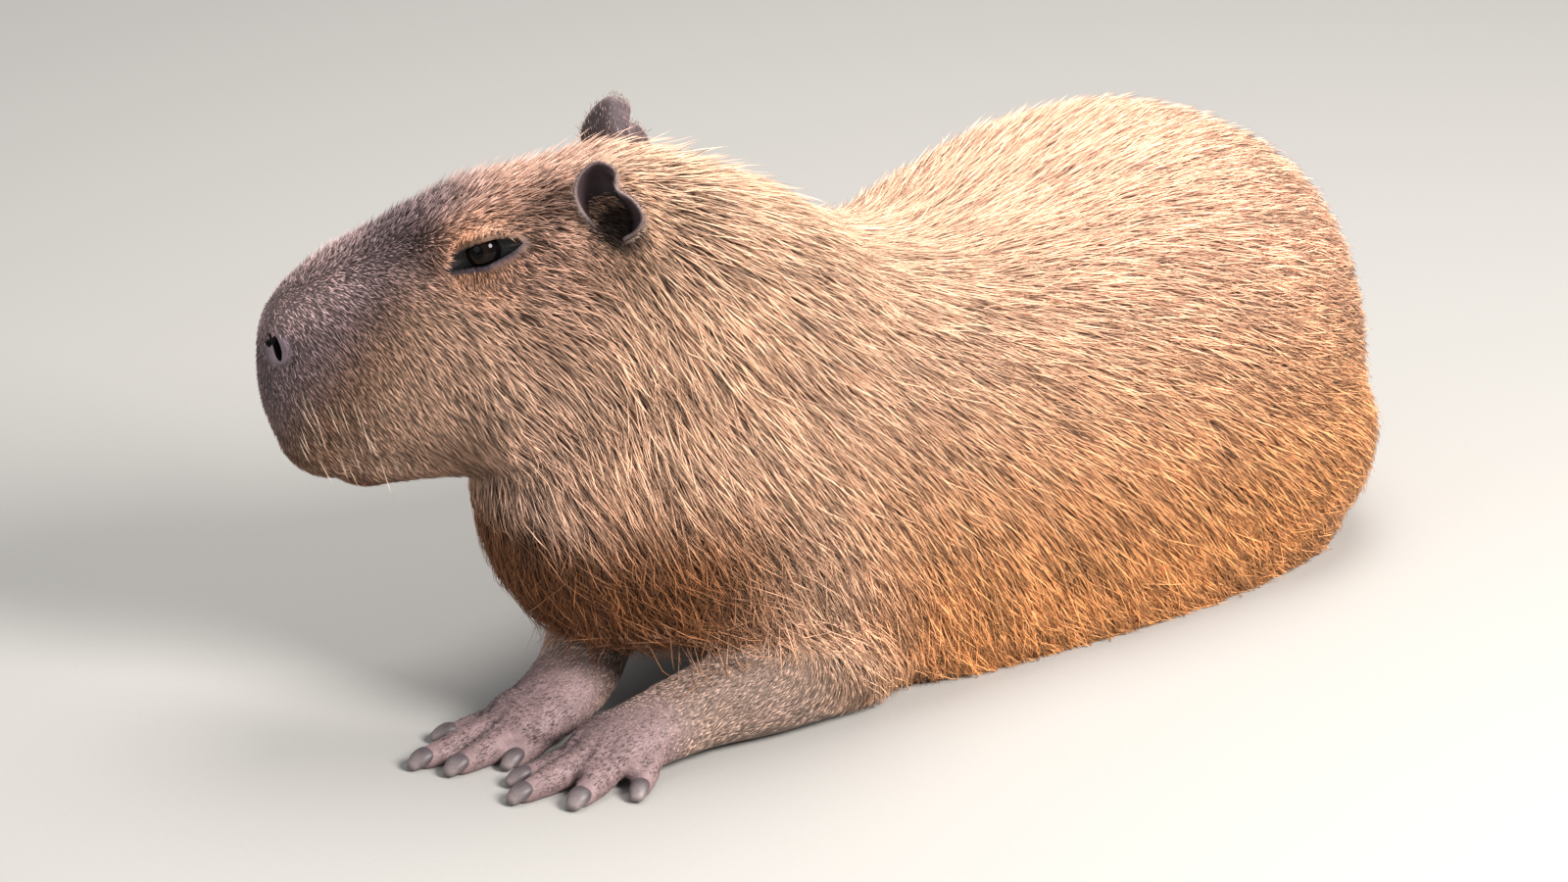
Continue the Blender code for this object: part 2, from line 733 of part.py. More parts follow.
def with_claws(foot, name, rows, home, cutters):
    for i, (root, tip, wide) in enumerate(rows):
        nail = claw(f"{name}_claw_{i + 1}", root, tip, wide, home)
        cut_at_floor(nail, cutters)
        room = grown(nail, GAP * 1.6, cutters)
        boolean(foot, room, "DIFFERENCE")
        removed(room)
        paint(nail, "claw", (0.055, 0.045, 0.045), 0.42)
    largest_piece(foot)


def main():
    for obj in list(bpy.data.objects):
        bpy.data.objects.remove(obj)
    home = collection("capybara")
    cutters = collection("cutters", shown=False)
    trunk(home)
    neck(home)
    skull(home)
    jaw(home)
    for side in (-1, 1):
        ellipsoid("cheek", head_point(0.045, side * 0.036, 0.240), (0.064, 0.038, 0.064), home, HEAD_FORWARD)
        ellipsoid("brow", head_point(0.076, side * 0.028, 0.343), (0.056, 0.0285, 0.026), home, HEAD_FORWARD)
        ellipsoid("lip_pad", head_point(0.192, side * 0.020, 0.207), (0.036, 0.025, 0.036), home, HEAD_FORWARD)
    limb("left_leg", [
        (0.150, -0.110, 0.170, 0.055, 0.065),
        (0.195, -0.135, 0.100, 0.046, 0.054),
        (0.195, -0.146, 0.048, 0.038, 0.042),
        (0.120, -0.146, 0.036, 0.035, 0.038),
        (0.045, -0.139, 0.029, 0.027, 0.028),
        (0.005, -0.134, 0.022, 0.030, 0.022),
        (-0.026, -0.132, 0.018, 0.032, 0.017),
        (-0.046, -0.134, 0.014, 0.020, 0.010),
    ], home)
    limb("right_leg", [
        (0.150, 0.020, 0.190, 0.050, 0.060),
        (0.170, 0.040, 0.120, 0.044, 0.050),
        (0.110, 0.002, 0.086, 0.037, 0.040),
        (0.050, -0.030, 0.056, 0.030, 0.031),
        (0.012, -0.052, 0.034, 0.028, 0.026),
        (-0.020, -0.058, 0.022, 0.030, 0.020),
        (-0.040, -0.056, 0.018, 0.030, 0.016),
        (-0.058, -0.054, 0.014, 0.020, 0.010),
    ], home)
    ellipsoid("left_haunch", Vector((0.575, -0.080, 0.075)), (0.145, 0.125, 0.105), home)
    ellipsoid("right_haunch", Vector((0.572, 0.078, 0.130)), (0.140, 0.118, 0.125), home)
    limb("left_shank", [
        (0.480, 0.100, 0.050, 0.050, 0.050),
        (0.440, 0.180, 0.032, 0.032, 0.034),
        (0.400, 0.220, 0.026, 0.027, 0.026),
        (0.350, 0.233, 0.021, 0.029, 0.021),
        (0.320, 0.238, 0.016, 0.030, 0.016),
        (0.300, 0.240, 0.013, 0.020, 0.010),
    ], home)
    limb("right_shank", [
        (0.500, 0.110, 0.150, 0.060, 0.070),
        (0.510, 0.170, 0.088, 0.044, 0.052),
        (0.585, 0.222, 0.048, 0.033, 0.036),
        (0.628, 0.256, 0.030, 0.026, 0.028),
        (0.590, 0.282, 0.026, 0.025, 0.025),
        (0.530, 0.292, 0.021, 0.029, 0.021),
        (0.500, 0.294, 0.016, 0.030, 0.016),
        (0.480, 0.294, 0.013, 0.020, 0.010),
    ], home)
    toes("left_fore_toe", LEFT_FOREFOOT, home)
    toes("right_fore_toe", RIGHT_FOREFOOT, home)
    toes("left_hind_toe", LEFT_HINDFOOT, home)
    toes("right_hind_toe", RIGHT_HINDFOOT, home)

    body = fused("torso", list(home.objects), home)
    softened(body, 4, lambda p: 1.0)
    softened(body, 60, looseness)
    thinned(body, 4 * BODY_TRIANGLES, lambda p: 0.0)
    thinned(body, BODY_TRIANGLES, lambda p: 0.002 * (1.0 - looseness(p)))
    with_locks(body)
    cut_at_floor(body, cutters)
    largest_piece(body)

    head = parted(body, "head", (0.0, -0.30, -0.15), (0.40, 0.30, 0.30), home, cutters,
                  head_frame() @ Matrix.Translation((0.022, 0.0, 0.27)) @ Matrix.Rotation(math.radians(-30), 4, "Y"))
    neck_turn = Matrix.Translation((0.210, 0.0, 0.340)) @ Matrix.Rotation(math.radians(-42), 4, "Y")
    neck_piece = parted(body, "neck", (-0.60, -0.40, 0.0), (0.0, 0.40, 0.30), home, cutters, neck_turn)
    feet = [
        ("forefoot_left", (-0.20, -0.22, -0.01), (0.012, -0.0945, 0.070), LEFT_FOREFOOT),
        ("forefoot_right", (-0.20, -0.0935, -0.01), (0.006, 0.040, 0.055), RIGHT_FOREFOOT),
        ("hindfoot_left", (0.20, 0.195, -0.01), (0.430, 0.300, 0.075), LEFT_HINDFOOT),
        ("hindfoot_right", (0.38, 0.240, -0.01), (0.604, 0.360, 0.075), RIGHT_HINDFOOT),
    ]
    for name, low, high, rows in feet:
        foot = parted(body, name, low, high, home, cutters)
        with_claws(foot, name, rows, home, cutters)
        paint(foot, "foot_skin", (0.23, 0.16, 0.14), 0.75)
    shanks = [
        ("forearm_left", (0.012, -0.22, -0.01), (0.105, -0.0945, 0.080)),
        ("forearm_right", (0.006, -0.0935, -0.01), (0.040, 0.030, 0.070)),
    ]
    pieces = [parted(body, name, low, high, home, cutters) for name, low, high in shanks]
    shank_line = Vector((0.118, 0.086, -0.058))
    pieces.append(parted(body, "shank_right", (0.0, -0.05, -0.07), (0.14, 0.038, 0.042), home, cutters,
                         aimed(Vector((0.562, 0.205, 0.060)), shank_line)))
    for piece in pieces:
        paint(piece, "leg_coat", (0.30, 0.20, 0.14), 0.85)
    hind = parted(body, "hindquarters", (0.47, -0.40, -0.05), (0.90, 0.40, 0.50), home, cutters)
    for side, word in ((1, "left"), (-1, "right")):
        eye = eye_details(head, side, home, cutters)
        eye.name = f"eye_{word}"
        paint(eye, "eye", (0.012, 0.008, 0.007), 0.08)
    nose_details(head, cutters)
    largest_piece(head)
    for side, word in ((1, "left"), (-1, "right")):
        shell = ear(side, home)
        shell.name = f"ear_{word}"
        for solid in (head, neck_piece):
            room = grown(solid, GAP * 1.5, cutters)
            boolean(shell, room, "DIFFERENCE")
            removed(room)
        largest_piece(shell)
        paint(shell, "ear_skin", (0.17, 0.12, 0.12), 0.7)
    for piece in (head, neck_piece, body, hind):
        paint(piece, "coat", (0.50, 0.31, 0.17), 0.85)
    for obj in home.objects:
        obj.data.transform(Matrix.Translation(-ORIGIN))


main()
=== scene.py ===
# %% [markdown]
# # A capybara lying at rest
#
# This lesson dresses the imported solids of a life-size capybara. The real animal has one dark, thin skin,
# and over it a sparse coat of coarse, flat, straw-like hair. The head, the eyes and the feet get the most
# care. Every piece is made in metres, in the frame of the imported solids.

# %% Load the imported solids
import json
import math

import bmesh
import bpy
import numpy as np
from mathutils import Matrix, Vector
from mathutils.bvhtree import BVHTree
from mathutils.kdtree import KDTree

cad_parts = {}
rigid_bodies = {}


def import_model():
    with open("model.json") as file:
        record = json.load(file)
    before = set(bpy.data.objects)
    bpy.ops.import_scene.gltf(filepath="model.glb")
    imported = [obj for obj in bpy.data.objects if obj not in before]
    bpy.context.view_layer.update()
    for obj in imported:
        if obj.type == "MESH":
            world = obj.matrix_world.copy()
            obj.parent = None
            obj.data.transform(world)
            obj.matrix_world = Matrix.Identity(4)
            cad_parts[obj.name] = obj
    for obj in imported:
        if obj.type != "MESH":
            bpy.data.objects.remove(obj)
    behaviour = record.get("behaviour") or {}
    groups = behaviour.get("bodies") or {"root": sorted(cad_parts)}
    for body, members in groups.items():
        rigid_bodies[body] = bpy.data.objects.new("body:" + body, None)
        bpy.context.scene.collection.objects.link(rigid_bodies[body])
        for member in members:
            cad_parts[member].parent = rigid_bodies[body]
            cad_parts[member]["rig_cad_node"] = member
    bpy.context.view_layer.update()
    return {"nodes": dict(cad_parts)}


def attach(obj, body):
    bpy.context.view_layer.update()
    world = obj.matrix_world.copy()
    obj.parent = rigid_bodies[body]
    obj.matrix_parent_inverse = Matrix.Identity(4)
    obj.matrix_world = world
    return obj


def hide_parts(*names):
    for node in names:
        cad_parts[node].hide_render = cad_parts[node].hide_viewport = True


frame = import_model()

chance = np.random.RandomState(11)
bpy.ops.object.select_all(action="DESELECT")

# %% [markdown]
# ## Where things are
#
# The trunk lies along X with the head at the -X end, and the head is turned to the animal's right. Most of
# the head is easier to give in its own terms: forward from the crown, to the left of the middle, and
# height. All pieces are made about the trunk's own origin and moved to the middle of the animal at the very
# end, as the solids are.

# %% The head's own directions
ORIGIN = Vector((0.3180, 0.0600, 0.0))
HEAD_YAW = math.radians(41)
CROWN = Vector((0.063, -0.039, 0.0))
HEAD_FORWARD = Vector((-math.cos(HEAD_YAW), math.sin(HEAD_YAW), 0.0))
HEAD_LEFT = Vector((-math.sin(HEAD_YAW), -math.cos(HEAD_YAW), 0.0))
UP = Vector((0.0, 0.0, 1.0))
FORWARD_ROW, LEFT_ROW, UP_ROW = (np.array(v) for v in (HEAD_FORWARD, HEAD_LEFT, UP))
COAT_DEPTH = 0.010  # metres


def head_point(forward, left, height):
    return CROWN + HEAD_FORWARD * forward + HEAD_LEFT * left + UP * height


def head_line(side, *spots):
    """Places on one side of the head, given as forward, left and height."""
    return [head_point(forward, side * left, height) for forward, left, height in spots]


def head_coords(points):
    """Forward, left and height of many points at once."""
    away = points - np.array(CROWN)
    return away @ FORWARD_ROW, away @ LEFT_ROW, points[:, 2]


def ramp(value, low, high):
    """0 below low, 1 above high, and an even S between them."""
    t = np.clip((value - low) / (high - low), 0.0, 1.0)
    return t * t * (3 - 2 * t)


def distance(points, place):
    return np.linalg.norm(points - np.array(place), axis=1)


def near(points, centre, radius):
    """1 at a centre, falling to 0 at a radius."""
    return 1 - ramp(distance(points, centre), 0.0, radius)


def tree_of(points, picks):
    """A search tree of the picked points."""
    tree = KDTree(len(picks))
    for i in picks:
        tree.insert(points[i], int(i))
    tree.balance()
    return tree


# %% [markdown]
# ## The body's rough forms
#
# A sculptor builds an animal from a few overlapping masses: barrel, neck, skull, jaw, cheeks, haunches and
# limbs. Each long mass is a stack of rings whose size changes along it, which no single primitive can give,
# so it is made in mesh code from a short list of sections. The round masses are stretched spheres.

# %% Smooth sections and stacked rings
RING_SIDES = 36


def eased(keys, steps):
    """Rows of numbers through the key rows, on a smooth curve."""
    keys = np.array(keys, float)
    spans = np.linalg.norm(np.diff(keys[:, :3], axis=0), axis=1)
    at = np.r_[0.0, np.cumsum(np.maximum(spans, 1e-4))]
    slopes = np.gradient(keys, at, axis=0)
    rows = []
    for t in np.linspace(0.0, at[-1], steps):
        i = min(int(np.searchsorted(at, t, side="right")) - 1, len(at) - 2)
        h = at[i + 1] - at[i]
        u = (t - at[i]) / h
        rows.append(
            (1 + 2 * u) * (1 - u) ** 2 * keys[i]
            + u * (1 - u) ** 2 * h * slopes[i]
            + u * u * (3 - 2 * u) * keys[i + 1]
            + u * u * (u - 1) * h * slopes[i + 1]
        )
    return np.array(rows)


def made_object(name, points, faces):
    mesh = bpy.data.meshes.new(name)
    mesh.from_pydata([tuple(p) for p in points], [], faces)
    mesh.validate()
    obj = bpy.data.objects.new(name, mesh)
    bpy.context.scene.collection.objects.link(obj)
    return obj


def stacked(name, rings):
    """A closed form over rings of equal point counts, with a pole at each end."""
    sides = len(rings[0])
    points = [p for ring in rings for p in ring]
    faces = []
    for r in range(len(rings) - 1):
        for k in range(sides):
            a, b = r * sides + k, r * sides + (k + 1) % sides
            faces.append((a, b, b + sides, a + sides))
    first, last = len(points), len(points) + 1
    points += [sum(rings[0], Vector()) / sides, sum(rings[-1], Vector()) / sides]
    top = (len(rings) - 1) * sides
    for k in range(sides):
        faces.append((first, (k + 1) % sides, k))
        faces.append((last, top + k, top + (k + 1) % sides))
    obj = made_object(name, points, faces)
    shape = bmesh.new()
    shape.from_mesh(obj.data)
    bmesh.ops.recalc_face_normals(shape, faces=shape.faces)
    if shape.calc_volume(signed=True) < 0:
        bmesh.ops.reverse_faces(shape, faces=shape.faces)
    shape.to_mesh(obj.data)
    shape.free()
    return obj


def squared(value, exponent):
    return math.copysign(abs(value) ** (2.0 / exponent), value)


def section(low, high, wide, square, narrow):
    """One rounded-square section as reach and height, narrowing towards its top."""
    rows = []
    for k in range(RING_SIDES):
        a = 2 * math.pi * k / RING_SIDES
        rise = squared(math.sin(a), square)
        reach = squared(math.cos(a), square) * (1 - narrow * rise)
        rows.append((wide * reach, (low + high) / 2 + (high - low) / 2 * rise))
    return rows


# %% The trunk and the neck
def body_mass(name, keys, steps):
    """Keys: x, y, bottom, top, half width, squareness, heading in degrees, narrowing."""
    rings = []
    for x, y, low, high, wide, square, heading, narrow in eased(keys, steps):
        turn = math.radians(heading)
        side = Vector((math.sin(turn), math.cos(turn), 0.0))
        shape = section(low, high, wide, square, narrow)
        rings.append([Vector((x, y, z)) + side * reach for reach, z in shape])
    return stacked(name, rings)


body_mass("trunk", [
    (0.752, 0.012, 0.050, 0.140, 0.025, 2.0, 0, 0.0),
    (0.737, 0.010, 0.000, 0.205, 0.085, 2.2, 0, 0.0),
    (0.700, 0.006, -0.060, 0.255, 0.140, 2.3, 0, 0.0),
    (0.630, 0.002, -0.095, 0.292, 0.182, 2.4, 0, 0.06),
    (0.540, -0.002, -0.105, 0.300, 0.196, 2.4, 0, 0.08),
    (0.440, -0.010, -0.105, 0.288, 0.188, 2.4, 0, 0.08),
    (0.340, -0.022, -0.095, 0.280, 0.168, 2.3, 0, 0.10),
    (0.250, -0.040, -0.060, 0.306, 0.150, 2.2, 0, 0.12),
    (0.170, -0.052, 0.000, 0.332, 0.140, 2.2, 0, 0.14),
    (0.090, -0.056, 0.046, 0.318, 0.128, 2.1, 0, 0.12),
    (0.020, -0.050, 0.068, 0.262, 0.103, 2.0, 0, 0.05),
    (-0.018, -0.044, 0.095, 0.205, 0.060, 2.0, 0, 0.0),
    (-0.030, -0.042, 0.130, 0.170, 0.020, 2.0, 0, 0.0),
], 60)
body_mass("neck_mass", [
    (0.245, -0.040, 0.140, 0.308, 0.090, 2.0, 0, 0.0),
    (0.190, -0.050, 0.110, 0.348, 0.116, 2.1, 0, 0.12),
    (0.140, -0.060, 0.105, 0.372, 0.116, 2.1, 14, 0.14),
    (0.100, -0.058, 0.115, 0.386, 0.102, 2.2, 28, 0.16),
    (0.063, -0.039, 0.135, 0.391, 0.082, 2.3, 41, 0.16),
    (0.025, -0.006, 0.170, 0.380, 0.060, 2.2, 41, 0.12),
], 34)


# %% The skull and the jaw
def head_mass(name, keys, steps):
    """Keys: forward, bottom, top, half width, squareness, narrowing."""
    rings = []
    for forward, low, high, wide, square, narrow in eased(keys, steps):
        shape = section(low, high, wide, square, narrow)
        rings.append([head_point(forward, reach, z) for reach, z in shape])
    return stacked(name, rings)


head_mass("skull", [
    (-0.045, 0.200, 0.384, 0.060, 2.2, 0.12),
    (-0.020, 0.174, 0.395, 0.077, 2.4, 0.18),
    (0.020, 0.170, 0.396, 0.075, 2.5, 0.20),
    (0.060, 0.176, 0.382, 0.068, 2.6, 0.18),
    (0.100, 0.182, 0.369, 0.060, 2.7, 0.15),
    (0.135, 0.184, 0.356, 0.053, 2.8, 0.12),
    (0.165, 0.184, 0.3395, 0.048, 2.9, 0.12),
    (0.190, 0.184, 0.326, 0.045, 2.9, 0.12),
    (0.210, 0.187, 0.312, 0.042, 2.8, 0.10),
    (0.225, 0.197, 0.300, 0.036, 2.6, 0.08),
    (0.235, 0.214, 0.285, 0.026, 2.3, 0.05),
    (0.240, 0.236, 0.267, 0.010, 2.0, 0.0),
], 44)
head_mass("jaw", [
    (0.030, 0.188, 0.240, 0.040, 2.2, 0.0),
    (0.060, 0.177, 0.240, 0.048, 2.3, 0.0),
    (0.110, 0.173, 0.230, 0.044, 2.3, 0.0),
    (0.150, 0.167, 0.220, 0.036, 2.4, 0.0),
    (0.176, 0.163, 0.210, 0.028, 2.4, 0.0),
    (0.189, 0.167, 0.204, 0.022, 2.2, 0.0),
    (0.196, 0.177, 0.194, 0.010, 2.0, 0.0),
], 26)


# %% Round masses: cheeks, brows, lip pads and haunches
def round_mass(name, centre, radii, yaw=0.0, roll=0.0):
    bpy.ops.mesh.primitive_uv_sphere_add(
        segments=40, ring_count=20, radius=1.0, location=centre, rotation=(roll, 0.0, yaw), scale=radii)
    obj = bpy.context.object
    obj.name = name
    bpy.ops.object.transform_apply(location=True, rotation=True, scale=True)
    return obj


FACING = math.atan2(HEAD_FORWARD.y, HEAD_FORWARD.x)
for side in (-1, 1):
    round_mass("cheek", head_point(0.045, side * 0.036, 0.240), (0.064, 0.038, 0.064), FACING)
    round_mass("brow", head_point(0.076, side * 0.029, 0.341), (0.054, 0.0280, 0.025), FACING)
    round_mass("lip_pad", head_point(0.192, side * 0.020, 0.210), (0.036, 0.025, 0.036), FACING)
round_mass("left_haunch", (0.575, -0.080, 0.075), (0.145, 0.125, 0.105))
round_mass("right_haunch", (0.572, 0.078, 0.130), (0.140, 0.118, 0.125))


# %% [markdown]
# ## Legs and toes
#
# A leg is a tube that swells and narrows along a bent path. The forelegs lie flat and point forward, and
# both hindfeet come out on the far side because the hips are rolled. A capybara has four toes in front and
# three behind, slightly webbed, and each ends in a blunt hoof-like claw.

# %% Tubes for legs and toes
def limb(name, keys, steps=34, sides=20):
    """Keys: x, y, z, half width, half depth. The tube is rounded off at both ends."""
    rows = eased(keys, steps)
    path = [Vector(r[:3]) for r in rows]
    rings = []
    for i, (row, at) in enumerate(zip(rows, path)):
        along = (path[min(i + 1, steps - 1)] - path[max(i - 1, 0)]).normalized()
        side = along.cross(UP).normalized()
        rise = side.cross(along).normalized()
        ring = []
        for k in range(sides):
            a = 2 * math.pi * k / sides
            ring.append(at + side * (row[3] * math.cos(a)) + rise * (row[4] * math.sin(a)))
        rings.append(ring)
    for end, inward in ((0, 1), (-1, -2)):
        middle = sum(rings[end], Vector()) / sides
        out = (path[end] - path[inward]).normalized() * min(rows[end][3], rows[end][4])
        caps = []
        for share in (0.5, 0.85):
            fall = math.sqrt(1 - share * share)
            caps.append([middle + (p - middle) * fall + out * share for p in rings[end]])
        rings = caps[::-1] + rings if end == 0 else rings + caps
    return stacked(name, rings)


limb("left_leg", [
    (0.150, -0.110, 0.170, 0.055, 0.065),
    (0.195, -0.135, 0.100, 0.046, 0.054),
    (0.195, -0.146, 0.048, 0.038, 0.042),
    (0.120, -0.146, 0.036, 0.035, 0.038),
    (0.045, -0.139, 0.029, 0.027, 0.028),
    (0.005, -0.134, 0.022, 0.030, 0.022),
    (-0.026, -0.132, 0.018, 0.032, 0.017),
    (-0.046, -0.134, 0.014, 0.020, 0.010),
])
limb("right_leg", [
    (0.150, 0.020, 0.190, 0.050, 0.060),
    (0.170, 0.040, 0.120, 0.044, 0.050),
    (0.110, 0.002, 0.086, 0.037, 0.040),
    (0.050, -0.030, 0.056, 0.030, 0.031),
    (0.012, -0.052, 0.034, 0.028, 0.026),
    (-0.020, -0.058, 0.022, 0.030, 0.020),
    (-0.040, -0.056, 0.018, 0.030, 0.016),
    (-0.058, -0.054, 0.014, 0.020, 0.010),
])
limb("left_shank", [
    (0.480, 0.100, 0.050, 0.050, 0.050),
    (0.440, 0.180, 0.032, 0.032, 0.034),
    (0.400, 0.220, 0.026, 0.027, 0.026),
    (0.350, 0.233, 0.021, 0.029, 0.021),
    (0.320, 0.238, 0.016, 0.030, 0.016),
    (0.300, 0.240, 0.013, 0.020, 0.010),
])
limb("right_shank", [
    (0.500, 0.110, 0.150, 0.060, 0.070),
    (0.510, 0.170, 0.088, 0.044, 0.052),
    (0.585, 0.222, 0.048, 0.033, 0.036),
    (0.628, 0.256, 0.030, 0.026, 0.028),
    (0.590, 0.282, 0.026, 0.025, 0.025),
    (0.530, 0.292, 0.021, 0.029, 0.021),
    (0.500, 0.294, 0.016, 0.030, 0.016),
    (0.480, 0.294, 0.013, 0.020, 0.010),
])

# %% The toes
# Each toe is its root, its tip and its half width, from the inner to the outer one.
FEET = {
    "forefoot_left": [
        ((-0.026, -0.116), (-0.074, -0.106), 0.0092),
        ((-0.032, -0.129), (-0.090, -0.127), 0.0106),
        ((-0.026, -0.144), (-0.066, -0.157), 0.0108),
        ((-0.006, -0.155), (-0.028, -0.172), 0.0092),
    ],
    "forefoot_right": [
        ((-0.024, -0.072), (-0.060, -0.080), 0.0092),
        ((-0.040, -0.064), (-0.094, -0.064), 0.0108),
        ((-0.042, -0.048), (-0.106, -0.041), 0.0108),
        ((-0.028, -0.036), (-0.068, -0.018), 0.0092),
    ],
    "hindfoot_left": [
        ((0.322, 0.220), (0.268, 0.212), 0.0105),
        ((0.318, 0.238), (0.254, 0.240), 0.0120),
        ((0.324, 0.256), (0.270, 0.268), 0.0105),
    ],
    "hindfoot_right": [
        ((0.502, 0.274), (0.450, 0.264), 0.0105),
        ((0.498, 0.292), (0.436, 0.292), 0.0120),
        ((0.504, 0.310), (0.452, 0.320), 0.0105),
    ],
}
for foot, rows in FEET.items():
    for i, ((x, y), (end_x, end_y), wide) in enumerate(rows):
        limb(f"{foot}_toe_{i}", [
            (x + (x - end_x) * 0.4, y + (y - end_y) * 0.4, 0.020, wide * 0.9, wide * 0.9),
            (x, y, 0.016, wide, wide),
            ((x + end_x) / 2, (y + end_y) / 2, wide * 0.95, wide, wide),
            (end_x, end_y, wide * 0.55, wide * 0.75, wide * 0.7),
        ], steps=12, sides=16)

# %% [markdown]
# ## Lids
#
# A capybara's eye sits high and looks half shut: a long almond between a heavy upper lid and a thin lower
# one. Each lid is a small tube along the edge of the almond, lying on the ball. It is added before the
# forms are fused, so that it grows out of the face.

# %% The eye's place and its lids
EYE_RADIUS = 0.0125
EYE = (0.0845, 0.0465, 0.3450)
EYE_FRONT = (0.1120, 0.3330)
EYE_REAR = (0.0580, 0.3515)
NOSTRIL_TURN = math.atan2(0.78, 0.62)  # outwards from straight ahead
LID_RISE = 0.0112
LID_DROP = 0.0056


def eye_place(side):
    return head_point(EYE[0], side * EYE[1], EYE[2])


def lid_line(side, rise, steps=9):
    """Points along the edge of one lid, lying on the eyeball where it covers it."""
    points = []
    for t in np.linspace(0.0, 1.0, steps):
        forward = EYE_FRONT[0] * (1 - t) + EYE_REAR[0] * t
        height = EYE_FRONT[1] * (1 - t) + EYE_REAR[1] * t + rise * math.sin(math.pi * t) ** 0.8
        off = math.hypot(forward - EYE[0], height - EYE[2])
        ball = math.sqrt(max((EYE_RADIUS + 0.001) ** 2 - off * off, 0.0))
        left = EYE[1] + max(ball, 0.0075 - 0.05 * (forward - EYE[0]))
        points.append((forward, left * side, height))
    return points


for side in (-1, 1):
    for rise, thick in ((LID_RISE, 0.0036), (-LID_DROP, 0.0026)):
        keys = []
        for t, (forward, left, height) in zip(np.linspace(0, 1, 13), lid_line(side, rise, 13)):
            swell = thick * (0.35 + 0.65 * math.sin(math.pi * t))
            keys.append((*head_point(forward, left, height + math.copysign(thick * 0.7, rise)), swell, swell))
        limb("lid", keys, steps=24, sides=10)
    turn = FACING + side * NOSTRIL_TURN
    round_mass("nostril_rim", head_point(0.2215, side * 0.0275, 0.2695), (0.0060, 0.0095, 0.0120), turn)

# %% [markdown]
# ## One skin
#
# All the masses are joined and remeshed with voxels, which melts them into a single closed surface.
# Smoothing then softens the trunk a lot, because flesh and fat round everything there, and the face and the
# feet only a little.

# %% Join, remesh and soften
FINE = 0.0023  # the voxel's side in metres
WEIGHT_STEPS = 20


def chosen(objects):
    """Selects only these objects, with the first one active."""
    bpy.ops.object.select_all(action="DESELECT")
    for obj in objects:
        obj.select_set(True)
    bpy.context.view_layer.objects.active = objects[0]


def applied(obj, kind, **settings):
    """Adds one modifier, sets it and applies it."""
    modifier = obj.modifiers.new(kind.lower(), kind)
    for key, value in settings.items():
        setattr(modifier, key, value)
    chosen([obj])
    bpy.ops.object.modifier_apply(modifier=modifier.name)


def places(obj):
    """The object's points as rows of x, y and z."""
    flat = np.empty(len(obj.data.vertices) * 3, np.float32)
    obj.data.vertices.foreach_get("co", flat)
    return flat.reshape(-1, 3).astype(float)


def moved(obj, points):
    obj.data.vertices.foreach_set("co", points.astype(np.float32).ravel())
    obj.data.update()


def normals(obj):
    flat = np.empty(len(obj.data.vertices) * 3, np.float32)
    obj.data.vertex_normals.foreach_get("vector", flat)
    return flat.reshape(-1, 3).astype(float)


def weighted(obj, name, weights):
    """A vertex group holding one weight per point, in even steps."""
    group = obj.vertex_groups.new(name=name)
    steps = np.round(weights * WEIGHT_STEPS).astype(int)
    for step in range(1, WEIGHT_STEPS + 1):
        group.add(np.nonzero(steps == step)[0].tolist(), step / WEIGHT_STEPS, "REPLACE")


def looseness(points):
    """1 on the trunk, neck and haunches, falling to 0 on the face and the feet."""
    forward, _, height = head_coords(points)
    x, y, z = points.T
    face = ramp(forward, 0.0, 0.05) * ramp(height, 0.13, 0.16)
    fore_foot = ramp(-x, -0.06, -0.02) * ramp(-z, -0.08, -0.05)
    hind_foot = ramp(y, 0.19, 0.215) * ramp(-z, -0.08, -0.05)
    return 1.0 - np.maximum.reduce([0.75 * face, fore_foot, hind_foot])


masses = [o for o in bpy.context.scene.objects if o.type == "MESH" and "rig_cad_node" not in o]
chosen(masses)
bpy.ops.object.join()
skin = bpy.context.object
skin.name = "skin"
skin.data.name = "skin"
skin.data.remesh_voxel_size = FINE
bpy.ops.object.voxel_remesh()
eye_area = np.minimum(*(distance(places(skin), eye_place(side)) for side in (-1, 1)))
weighted(skin, "all", 0.25 + 0.75 * ramp(eye_area, 0.016, 0.03))
applied(skin, "SMOOTH", factor=0.5, iterations=8, vertex_group="all")
weighted(skin, "soft", looseness(places(skin)))
applied(skin, "SMOOTH", factor=0.5, iterations=90, vertex_group="soft")
print("skin", len(skin.data.vertices), "points")


# %% [markdown]
# ## Under the coat
#
# The coat stands on the skin, so where the hair is long the skin lies deeper. How long the coat is at a
# place is one function, used here and again for the hair itself.

# %% Sink the skin where the coat is long
def coat(points):
    """The coat's length at each point against the flank's: nothing on the face, the legs and the feet."""
    forward = head_coords(points)[0]
    x, y, z = points.T
    cheek = np.where(z > 0.15, ramp(-forward, -0.075, -0.020), 1.0)
    ear_gap = np.ones(len(points))
    for side in (-1, 1):
        away = distance(points, head_point(0.002, side * 0.055, 0.375))
        ear_gap = np.minimum(ear_gap, ramp(away, 0.028, 0.055))
    low_front = (z < 0.095) & (x < 0.23)
    legs = np.where(low_front & (y < -0.09), ramp(x + 0.8 * z, 0.185, 0.24), 1.0)
    legs = np.where(low_front & (y >= -0.09), ramp(z, 0.07, 0.09), legs)
    hind_leg = 1.0 - ramp(y, 0.13, 0.165) * ramp(-z, -0.12, -0.09) * ramp(x, 0.18, 0.26)
    return cheek * ear_gap * legs * hind_leg


at = places(skin)
at -= normals(skin) * (0.5 * COAT_DEPTH * coat(at))[:, None]
at[:, 2] = np.maximum(at[:, 2], 0.0004)
moved(skin, at)

# %% [markdown]
# ## Folds
#
# Loose skin creases where it bends: above the eye, from its front corner down the cheek, behind the lip,
# across each toe and between the toes. Each crease is a line that presses the skin in a little along its
# normal, with a slight swell on both sides.

